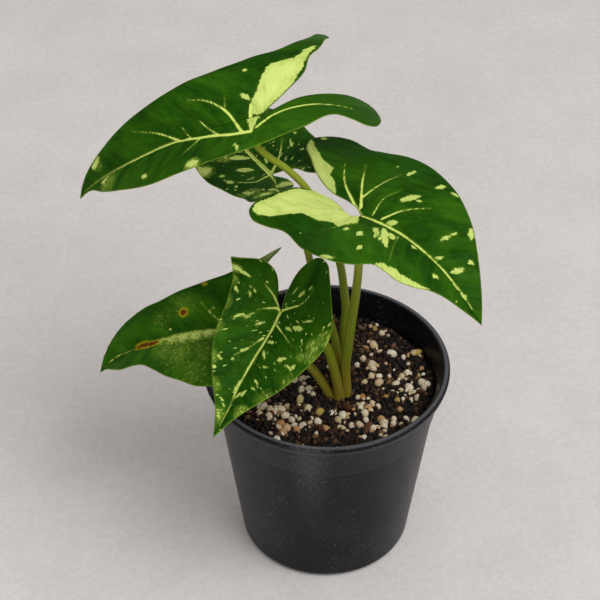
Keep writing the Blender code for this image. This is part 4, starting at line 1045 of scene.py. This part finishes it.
def scatter_tree():
    """Geometry Nodes: scatters lumpy grains over a surface, each with its own size, turn and tone."""
    tree, given, result = new_group(
        "scattered_grains", "GeometryNodeTree",
        (("Geometry", "NodeSocketGeometry", None), ("Spacing", "NodeSocketFloat", 0.002),
         ("Density", "NodeSocketFloat", 20000.0), ("Clumping", "NodeSocketFloat", 0.5),
         ("Smallest", "NodeSocketFloat", 0.0005), ("Largest", "NodeSocketFloat", 0.0015),
         ("Small Share", "NodeSocketFloat", 2.0),
         ("Stretch", "NodeSocketVector", (1.0, 1.0, 1.0)), ("Lift", "NodeSocketFloat", 0.0),
         ("Lumps", "NodeSocketFloat", 0.3), ("Lump Size", "NodeSocketFloat", 0.001),
         ("Fineness", "NodeSocketInt", 2), ("Seed", "NodeSocketInt", 1),
         ("Material", "NodeSocketMaterial", None)),
        (("Geometry", "NodeSocketGeometry"),))
    place = add_node(tree, "GeometryNodeInputPosition").outputs[0]
    clump = add_node(tree, "ShaderNodeTexNoise", {"Vector": place, "Scale": 55.0, "Detail": 2.0}).outputs["Fac"]
    clump = edge(tree, clump, given.outputs["Clumping"], calc(tree, "ADD", given.outputs["Clumping"], 0.12))
    rich = add_node(tree, "GeometryNodeInputNamedAttribute", {"Name": "density"}, data_type="FLOAT")
    clump = calc(tree, "MULTIPLY", clump, rich.outputs["Attribute"])
    spots = add_node(tree, "GeometryNodeDistributePointsOnFaces",
                     {"Mesh": given.outputs["Geometry"], "Distance Min": given.outputs["Spacing"],
                      "Density Max": given.outputs["Density"], "Density Factor": clump,
                      "Seed": given.outputs["Seed"]}, distribute_method="POISSON")
    ball = add_node(tree, "GeometryNodeMeshIcoSphere", {"Radius": 1.0, "Subdivisions": given.outputs["Fineness"]})
    turn = add_node(tree, "FunctionNodeRandomValue", {0: (0.0, 0.0, 0.0), 1: (6.28, 6.28, 6.28),
                                                      "Seed": given.outputs["Seed"]}, data_type="FLOAT_VECTOR")
    size = add_node(tree, "FunctionNodeRandomValue", {2: 0.0, 3: 1.0, "Seed": 5}, data_type="FLOAT")
    size = add_node(tree, "ShaderNodeMapRange",
                    {"Value": calc(tree, "POWER", size.outputs[1], given.outputs["Small Share"]), "To Min": given.outputs["Smallest"],
                     "To Max": given.outputs["Largest"]}).outputs["Result"]
    scale = add_node(tree, "ShaderNodeVectorMath", {0: given.outputs["Stretch"], "Scale": size},
                     operation="SCALE").outputs[0]
    grains = add_node(tree, "GeometryNodeInstanceOnPoints",
                      {"Points": spots.outputs["Points"], "Instance": ball.outputs["Mesh"],
                       "Rotation": turn.outputs[0], "Scale": scale})
    tone = add_node(tree, "FunctionNodeRandomValue", {2: 0.0, 3: 1.0, "Seed": 9}, data_type="FLOAT")
    toned = add_node(tree, "GeometryNodeStoreNamedAttribute",
                     {"Geometry": grains.outputs["Instances"], "Name": "tone", "Value": tone.outputs[1]},
                     data_type="FLOAT", domain="INSTANCE")
    real = add_node(tree, "GeometryNodeRealizeInstances", {"Geometry": toned.outputs["Geometry"]})
    lump = add_node(tree, "ShaderNodeTexNoise", {"Vector": place, "Detail": 2.0, "Scale": calc(
        tree, "DIVIDE", 1.0, given.outputs["Lump Size"])}).outputs["Fac"]
    lump = calc(tree, "MULTIPLY", calc(tree, "SUBTRACT", lump, 0.5), given.outputs["Lumps"])
    push = add_node(tree, "ShaderNodeVectorMath", {0: add_node(tree, "GeometryNodeInputNormal").outputs[0],
                                                   "Scale": lump}, operation="SCALE").outputs[0]
    lift = add_node(tree, "ShaderNodeCombineXYZ", {"Z": given.outputs["Lift"]}).outputs[0]
    push = add_node(tree, "ShaderNodeVectorMath", {0: push, 1: lift}, operation="ADD").outputs[0]
    shaped = add_node(tree, "GeometryNodeSetPosition", {"Geometry": real.outputs["Geometry"], "Offset": push})
    finish_tree(tree, shaped.outputs["Geometry"], result, given.outputs["Material"])
    return tree


def mineral_material(name, colours, roughness, relief, stain_and_shade_share=1.0):
    """A grain's look: its tone picks between colours, darkened by stains and by painted shade in the pits of its
    pores.
    """
    material, tree, shader = new_material(name, roughness, 0.3)
    place = object_place(tree)
    ramp = add_node(tree, "ShaderNodeValToRGB", {"Fac": attribute(tree, "tone")})
    ramp.color_ramp.interpolation = "LINEAR"
    while len(ramp.color_ramp.elements) < len(colours):
        ramp.color_ramp.elements.new(0.5)
    for i, colour in enumerate(colours):
        ramp.color_ramp.elements[i].position = i / (len(colours) - 1)
        ramp.color_ramp.elements[i].color = srgb(*colour)
    pores = speckle(tree, place, 0.0008, detail=4.0, roughness=0.7)
    stain = speckle(tree, place, 0.004, detail=2.0)
    # Darkening where the bump sinks into pores is painted shade; the broad blotches are stains.
    stain_and_pit_shade = blend(tree, 1.0, ramp.outputs["Color"], (0.35, 0.28, 0.22, 1.0), "MULTIPLY")
    colour = blend(tree, calc(tree, "MULTIPLY", edge(tree, pores, 0.52, 0.34), stain_and_shade_share), ramp.outputs["Color"], stain_and_pit_shade)
    colour = blend(tree, calc(tree, "MULTIPLY", edge(tree, stain, 0.55, 0.75), 0.45 * stain_and_shade_share), colour, stain_and_pit_shade)
    tree.links.new(colour, shader.inputs["Base Color"])
    add_bump(tree, shader, pores, relief)
    return material


def floor_material(settings):
    material, tree, shader = new_material("pale_floor", 0.85, 0.2)
    place = object_place(tree)
    broad = speckle(tree, place, 0.05, detail=5.0, roughness=0.65)
    fine = speckle(tree, place, 0.0035, detail=5.0, roughness=0.75)
    cloudy = calc(tree, "MULTIPLY_ADD", fine, 0.8, calc(tree, "MULTIPLY", broad, 0.5))
    tint = tuple(c * 0.87 for c in settings.floor)
    tree.links.new(blend(tree, edge(tree, cloudy, 0.45, 0.85), (*tint, 1.0), (*settings.floor, 1.0)),
                   shader.inputs["Base Color"])
    return material


def colour_property(name, description, red, green, blue):
    return FloatVectorProperty(name=name, description=description, subtype="COLOR", size=3, min=0.0, max=1.0,
                               default=srgb(red, green, blue)[:3])


class PotSettings(bpy.types.PropertyGroup):
    sides: IntProperty(name="Sides", description="Sides of the turned wall", default=192, min=24)
    roughness: FloatProperty(name="Roughness", description="Roughness of the plastic", default=0.37,
                             min=0.0, max=1.0, subtype="FACTOR")
    black: colour_property("Black", "Colour of the plastic", 5, 6, 12)
    film: colour_property("Film", "Colour of the thin dry film low on the wall", 32, 33, 42)
    # The dust colour also lightens the pot's painted highlights, on the front band and along the lip.
    dust: colour_property("Dust", "Colour of the specks of dust and soil", 132, 132, 136)


class SoilSettings(bpy.types.PropertyGroup):
    crumb_spacing: FloatProperty(name="Crumb Spacing", description="Least distance between crumbs",
                                 default=0.00085, unit="LENGTH")
    perlite_spacing: FloatProperty(name="Perlite Spacing", description="Least distance between perlite grains",
                                   default=0.0024, unit="LENGTH")
    pebble_spacing: FloatProperty(name="Pebble Spacing", description="Least distance between tan grains",
                                  default=0.0046, unit="LENGTH")
    seed: IntProperty(name="Seed", description="Seed of the scattered grains", default=4, min=0)


class LeafSettings(bpy.types.PropertyGroup):
    step: FloatProperty(name="Mesh Step", description="Distance between the points of a blade",
                        default=0.0009, unit="LENGTH")
    thickness: FloatProperty(name="Thickness", description="Thickness of a blade", default=0.0006,
                             unit="LENGTH")
    deep_green: colour_property("Deep Green", "Green of the blade's darkest parts", 25, 65, 7)
    fresh_green: colour_property("Fresh Green", "Green of the blade's lighter parts", 46, 90, 11)
    cream: colour_property("Cream", "Colour of the marbling", 211, 227, 127)
    lime: colour_property("Lime", "Colour where green and cream meet", 146, 176, 58)
    vein: colour_property("Vein", "Colour of the pale veins", 214, 232, 116)
    underside: colour_property("Underside", "Colour of the blade's underside", 52, 84, 26)


class StalkSettings(bpy.types.PropertyGroup):
    step: FloatProperty(name="Step", description="Distance between a stalk's rings", default=0.0015,
                        unit="LENGTH")
    sides: IntProperty(name="Sides", description="Sides of a stalk", default=24, min=6)
    sheath: FloatProperty(name="Sheath", description="How much wider a sheath is than its stalk", default=0.28,
                          min=0.0, max=1.0, subtype="FACTOR")
    olive: colour_property("Olive", "Colour of the flesh", 102, 118, 22)
    pale_olive: colour_property("Pale Olive", "Colour of the streaks", 140, 156, 44)
    russet: colour_property("Russet", "Colour of the old flesh by the soil", 150, 104, 44)


class StudioSettings(bpy.types.PropertyGroup):
    lens: FloatProperty(name="Lens", description="Focal length in millimetres", default=132.0, min=10.0)
    camera_place: FloatVectorProperty(name="Camera", description="Place of the camera",
                                      default=(0.0, -0.7885, 0.8277), subtype="TRANSLATION")
    pitch: FloatProperty(name="Pitch", description="How far the camera looks down",
                         default=math.radians(40.78), subtype="ANGLE")
    heading: FloatProperty(name="Heading", description="How far the camera turns to its left",
                           default=math.radians(0.94), subtype="ANGLE")
    sky: FloatProperty(name="Sky", description="Strength of the even light", default=0.52, min=0.0)
    key: FloatProperty(name="Key", description="Power of the large light", default=40.0, min=0.0)
    fill: FloatProperty(name="Fill", description="Power of the front light", default=1.6, min=0.0)
    floor: colour_property("Floor", "Colour of the floor", 221, 216, 213)


class SYNGONIUM_OT_pot(bpy.types.Operator):
    """Turn the nursery pot"""
    bl_idname = "syngonium.pot"
    bl_label = "Pot"

    def execute(self, context):
        settings = context.scene.syngonium_pot
        profile = [Vector((radius - TURN_RADIUS, -height, 0.0)) for radius, height in pot_profile()]
        tree = turned_pot_tree(pot_material(settings))
        mesh = baked("pot_shell", route_curve("pot_section", profile), tree, {"Sides": settings.sides})
        mesh.set_sharp_from_angle(angle=math.radians(40.0))
        add_piece("pot_shell", mesh, ("pot",))
        return {"FINISHED"}


class SYNGONIUM_OT_soil(bpy.types.Operator):
    """Fill the pot with soil"""
    bl_idname = "syngonium.soil"
    bl_label = "Soil"

    def execute(self, context):
        mesh = soil_mesh(80, 240, foot=FLOOR + GAP)
        mesh.materials.append(mineral_material("dark_peat", ((20, 14, 10), (34, 24, 17)), 0.9, 0.0006))
        add_piece("soil_bed", mesh, ("soil",))
        return {"FINISHED"}


class SYNGONIUM_OT_grains(bpy.types.Operator):
    """Scatter crumbs, perlite, tan grains and bark over the soil"""
    bl_idname = "syngonium.grains"
    bl_label = "Grains"

    def execute(self, context):
        settings = context.scene.syngonium_soil
        tree = scatter_tree()
        kinds = (
            ("peat_crumbs", mineral_material("peat_crumb", ((12, 8, 6), (26, 17, 11), (15, 10, 7), (46, 29, 18),
                                                            (20, 13, 9), (70, 46, 28), (132, 98, 64)), 0.7, 0.0005),
             settings.crumb_spacing, 5.5, (),
             {"Density": 3000000.0, "Clumping": -0.3, "Smallest": 0.0003, "Largest": 0.0019, "Lumps": 0.0012,
              "Small Share": 2.6, "Lump Size": 0.0007, "Lift": 0.0002, "Stretch": (1.4, 0.9, 0.7),
              "Fineness": 1, "Seed": settings.seed}),
            ("perlite_grains", mineral_material("perlite", ((224, 206, 174), (240, 230, 210), (206, 176, 130),
                                                            (234, 220, 192), (212, 196, 168)), 0.8, 0.0002, 0.5),
             settings.perlite_spacing, 10.5, PERLITE_SPOTS,
             {"Density": 150000.0, "Clumping": 0.3, "Smallest": 0.0006, "Largest": 0.0026, "Lumps": 0.0009,
              "Small Share": 1.1, "Lump Size": 0.0014, "Lift": 0.0006, "Stretch": (1.2, 0.95, 0.85), "Fineness": 2,
              "Seed": settings.seed + 1}),
            ("tan_grains", mineral_material("pumice", ((206, 176, 130), (184, 128, 74), (224, 204, 164),
                                                       (176, 160, 78), (196, 150, 92)), 0.8, 0.0003, 0.7),
             settings.pebble_spacing, 11.0, PERLITE_SPOTS,
             {"Density": 60000.0, "Clumping": 0.3, "Smallest": 0.0010, "Largest": 0.0026, "Lumps": 0.0012,
              "Small Share": 1.3, "Lump Size": 0.0016, "Lift": 0.0006, "Stretch": (1.2, 1.0, 0.8), "Fineness": 2,
              "Seed": settings.seed + 2}),
            ("bark_chips", mineral_material("bark_chip", ((74, 44, 24), (112, 70, 36), (52, 34, 22)), 0.8, 0.0005),
             0.0075, 12.0, (),
             {"Density": 40000.0, "Clumping": 0.42, "Smallest": 0.0014, "Largest": 0.0034, "Lumps": 0.0016,
              "Lump Size": 0.0012, "Lift": 0.0003, "Stretch": (1.5, 0.8, 0.4), "Fineness": 2,
              "Seed": settings.seed + 3}),
        )
        for name, material, spacing, clear, spots, values in kinds:
            values["Spacing"] = spacing
            values["Material"] = material
            mesh = baked(name, soil_mesh(40, 120, clear=clear, spots=spots), tree, values)
            add_piece(name, mesh)
        return {"FINISHED"}


class SYNGONIUM_OT_stalks(bpy.types.Operator):
    """Grow the stalks and the sheaths round their feet"""
    bl_idname = "syngonium.stalks"
    bl_label = "Stalks and Crown"

    def execute(self, context):
        settings = context.scene.syngonium_stalks
        tree = stalk_tree(stalk_material(settings))
        sheaths = bmesh.new()
        for name in LEAVES:
            route = stalk_route(name, settings.step / MM)
            foot, top = (radius * MM for radius in STALKS[name][0])
            values = {"Foot Radius": foot, "Top Radius": top, "Sides": settings.sides}
            stalk = name.replace("leaf", "stalk")
            mesh = baked(stalk + "_flesh", route_curve(stalk, route), tree, values)
            add_piece(stalk + "_flesh", mesh, (stalk,))
            low = [p for p in route if p.z < SHEATH_TOPS[name]]
            neck = foot + (top - foot) * len(low) / len(route)
            values = {"Foot Radius": foot * (1.0 + settings.sheath), "Top Radius": neck * 0.85, "Flare": 0.15,
                      "Sides": settings.sides}
            sheath = baked("sheath", route_curve("sheath", low), tree, values)
            sheaths.from_mesh(sheath)
        mesh = bpy.data.meshes.new("crown_sheaths")
        sheaths.to_mesh(mesh)
        sheaths.free()
        mesh.materials.append(bpy.data.materials["fleshy_stalk"])
        add_piece("crown_sheaths", mesh, ("crown",))
        return {"FINISHED"}


class SYNGONIUM_OT_leaves(bpy.types.Operator):
    """Spread the marbled blades"""
    bl_idname = "syngonium.leaves"
    bl_label = "Leaves"

    def execute(self, context):
        settings = context.scene.syngonium_leaves
        group = marbling_group()
        for name, leaf in LEAVES.items():
            material = blade_material(name, group, settings)
            mesh = make_blade_mesh(name, leaf, settings.step / MM, settings.thickness / MM, material)
            add_piece(name.replace("leaf", "blade"), mesh, (name,))
        return {"FINISHED"}


class SYNGONIUM_OT_studio(bpy.types.Operator):
    """Set up the pale floor, the soft lights and the camera"""
    bl_idname = "syngonium.studio"
    bl_label = "Studio"

    def add_light(self, name, power, size, place, aim):
        light = bpy.data.lights.new(name, "AREA")
        light.energy = power
        light.shape = "DISK"
        light.size = size
        lamp = bpy.data.objects.new(name, light)
        bpy.context.scene.collection.objects.link(lamp)
        lamp.location = place
        lamp.rotation_euler = (Vector(aim) - Vector(place)).to_track_quat("-Z", "Y").to_euler()

    def execute(self, context):
        settings = context.scene.syngonium_studio
        scene = context.scene
        shape = bmesh.new()
        bmesh.ops.create_grid(shape, x_segments=1, y_segments=1, size=4.0)
        mesh = bpy.data.meshes.new("floor")
        shape.to_mesh(mesh)
        shape.free()
        mesh.materials.append(floor_material(settings))
        floor = bpy.data.objects.new("floor", mesh)
        scene.collection.objects.link(floor)

        world = bpy.data.worlds.new("even_light")
        world.use_nodes = True
        world.node_tree.nodes["Background"].inputs["Color"].default_value = (1.0, 0.985, 0.97, 1.0)
        world.node_tree.nodes["Background"].inputs["Strength"].default_value = settings.sky
        scene.world = world
        self.add_light("key", settings.key, 1.9, (1.1, -0.92, 2.25), (0.0, 0.0, 0.1))
        self.add_light("fill", settings.fill, 0.3, (-0.3, -1.25, 0.55), (0.0, 0.0, 0.06))

        camera = bpy.data.cameras.new("camera")
        camera.lens = settings.lens
        camera.sensor_width = 36.0
        camera.clip_start = 0.01
        viewer = bpy.data.objects.new("camera", camera)
        scene.collection.objects.link(viewer)
        viewer.location = settings.camera_place
        viewer.rotation_euler = (math.radians(90.0) - settings.pitch, 0.0, settings.heading)
        scene.camera = viewer
        scene.view_settings.view_transform = "Standard"
        return {"FINISHED"}


class SYNGONIUM_PT_panel(bpy.types.Panel):
    bl_idname = "SYNGONIUM_PT_panel"
    bl_label = "Potted Syngonium"
    bl_space_type = "VIEW_3D"
    bl_region_type = "UI"
    bl_category = "Syngonium"

    def draw(self, context):
        for operator, group in STEPS:
            box = self.layout.box()
            settings = getattr(context.scene, group)
            for key in settings.__annotations__:
                box.prop(settings, key)
            box.operator(operator.bl_idname)


SETTINGS = {
    "syngonium_pot": PotSettings,
    "syngonium_soil": SoilSettings,
    "syngonium_stalks": StalkSettings,
    "syngonium_leaves": LeafSettings,
    "syngonium_studio": StudioSettings,
}
STEPS = (
    (SYNGONIUM_OT_pot, "syngonium_pot"),
    (SYNGONIUM_OT_soil, "syngonium_soil"),
    (SYNGONIUM_OT_grains, "syngonium_soil"),
    (SYNGONIUM_OT_stalks, "syngonium_stalks"),
    (SYNGONIUM_OT_leaves, "syngonium_leaves"),
    (SYNGONIUM_OT_studio, "syngonium_studio"),
)


def register():
    for name, group in SETTINGS.items():
        bpy.utils.register_class(group)
        setattr(bpy.types.Scene, name, PointerProperty(type=group))
    for operator, group in STEPS:
        bpy.utils.register_class(operator)
    bpy.utils.register_class(SYNGONIUM_PT_panel)


def unregister():
    bpy.utils.unregister_class(SYNGONIUM_PT_panel)
    for operator, group in STEPS:
        bpy.utils.unregister_class(operator)
    for name, group in SETTINGS.items():
        delattr(bpy.types.Scene, name)
        bpy.utils.unregister_class(group)


def main():
    register()
    bpy.ops.syngonium.pot()
    bpy.ops.syngonium.soil()
    bpy.ops.syngonium.grains()
    bpy.ops.syngonium.stalks()
    bpy.ops.syngonium.leaves()
    bpy.ops.syngonium.studio()


if __name__ == "__main__":
    main()
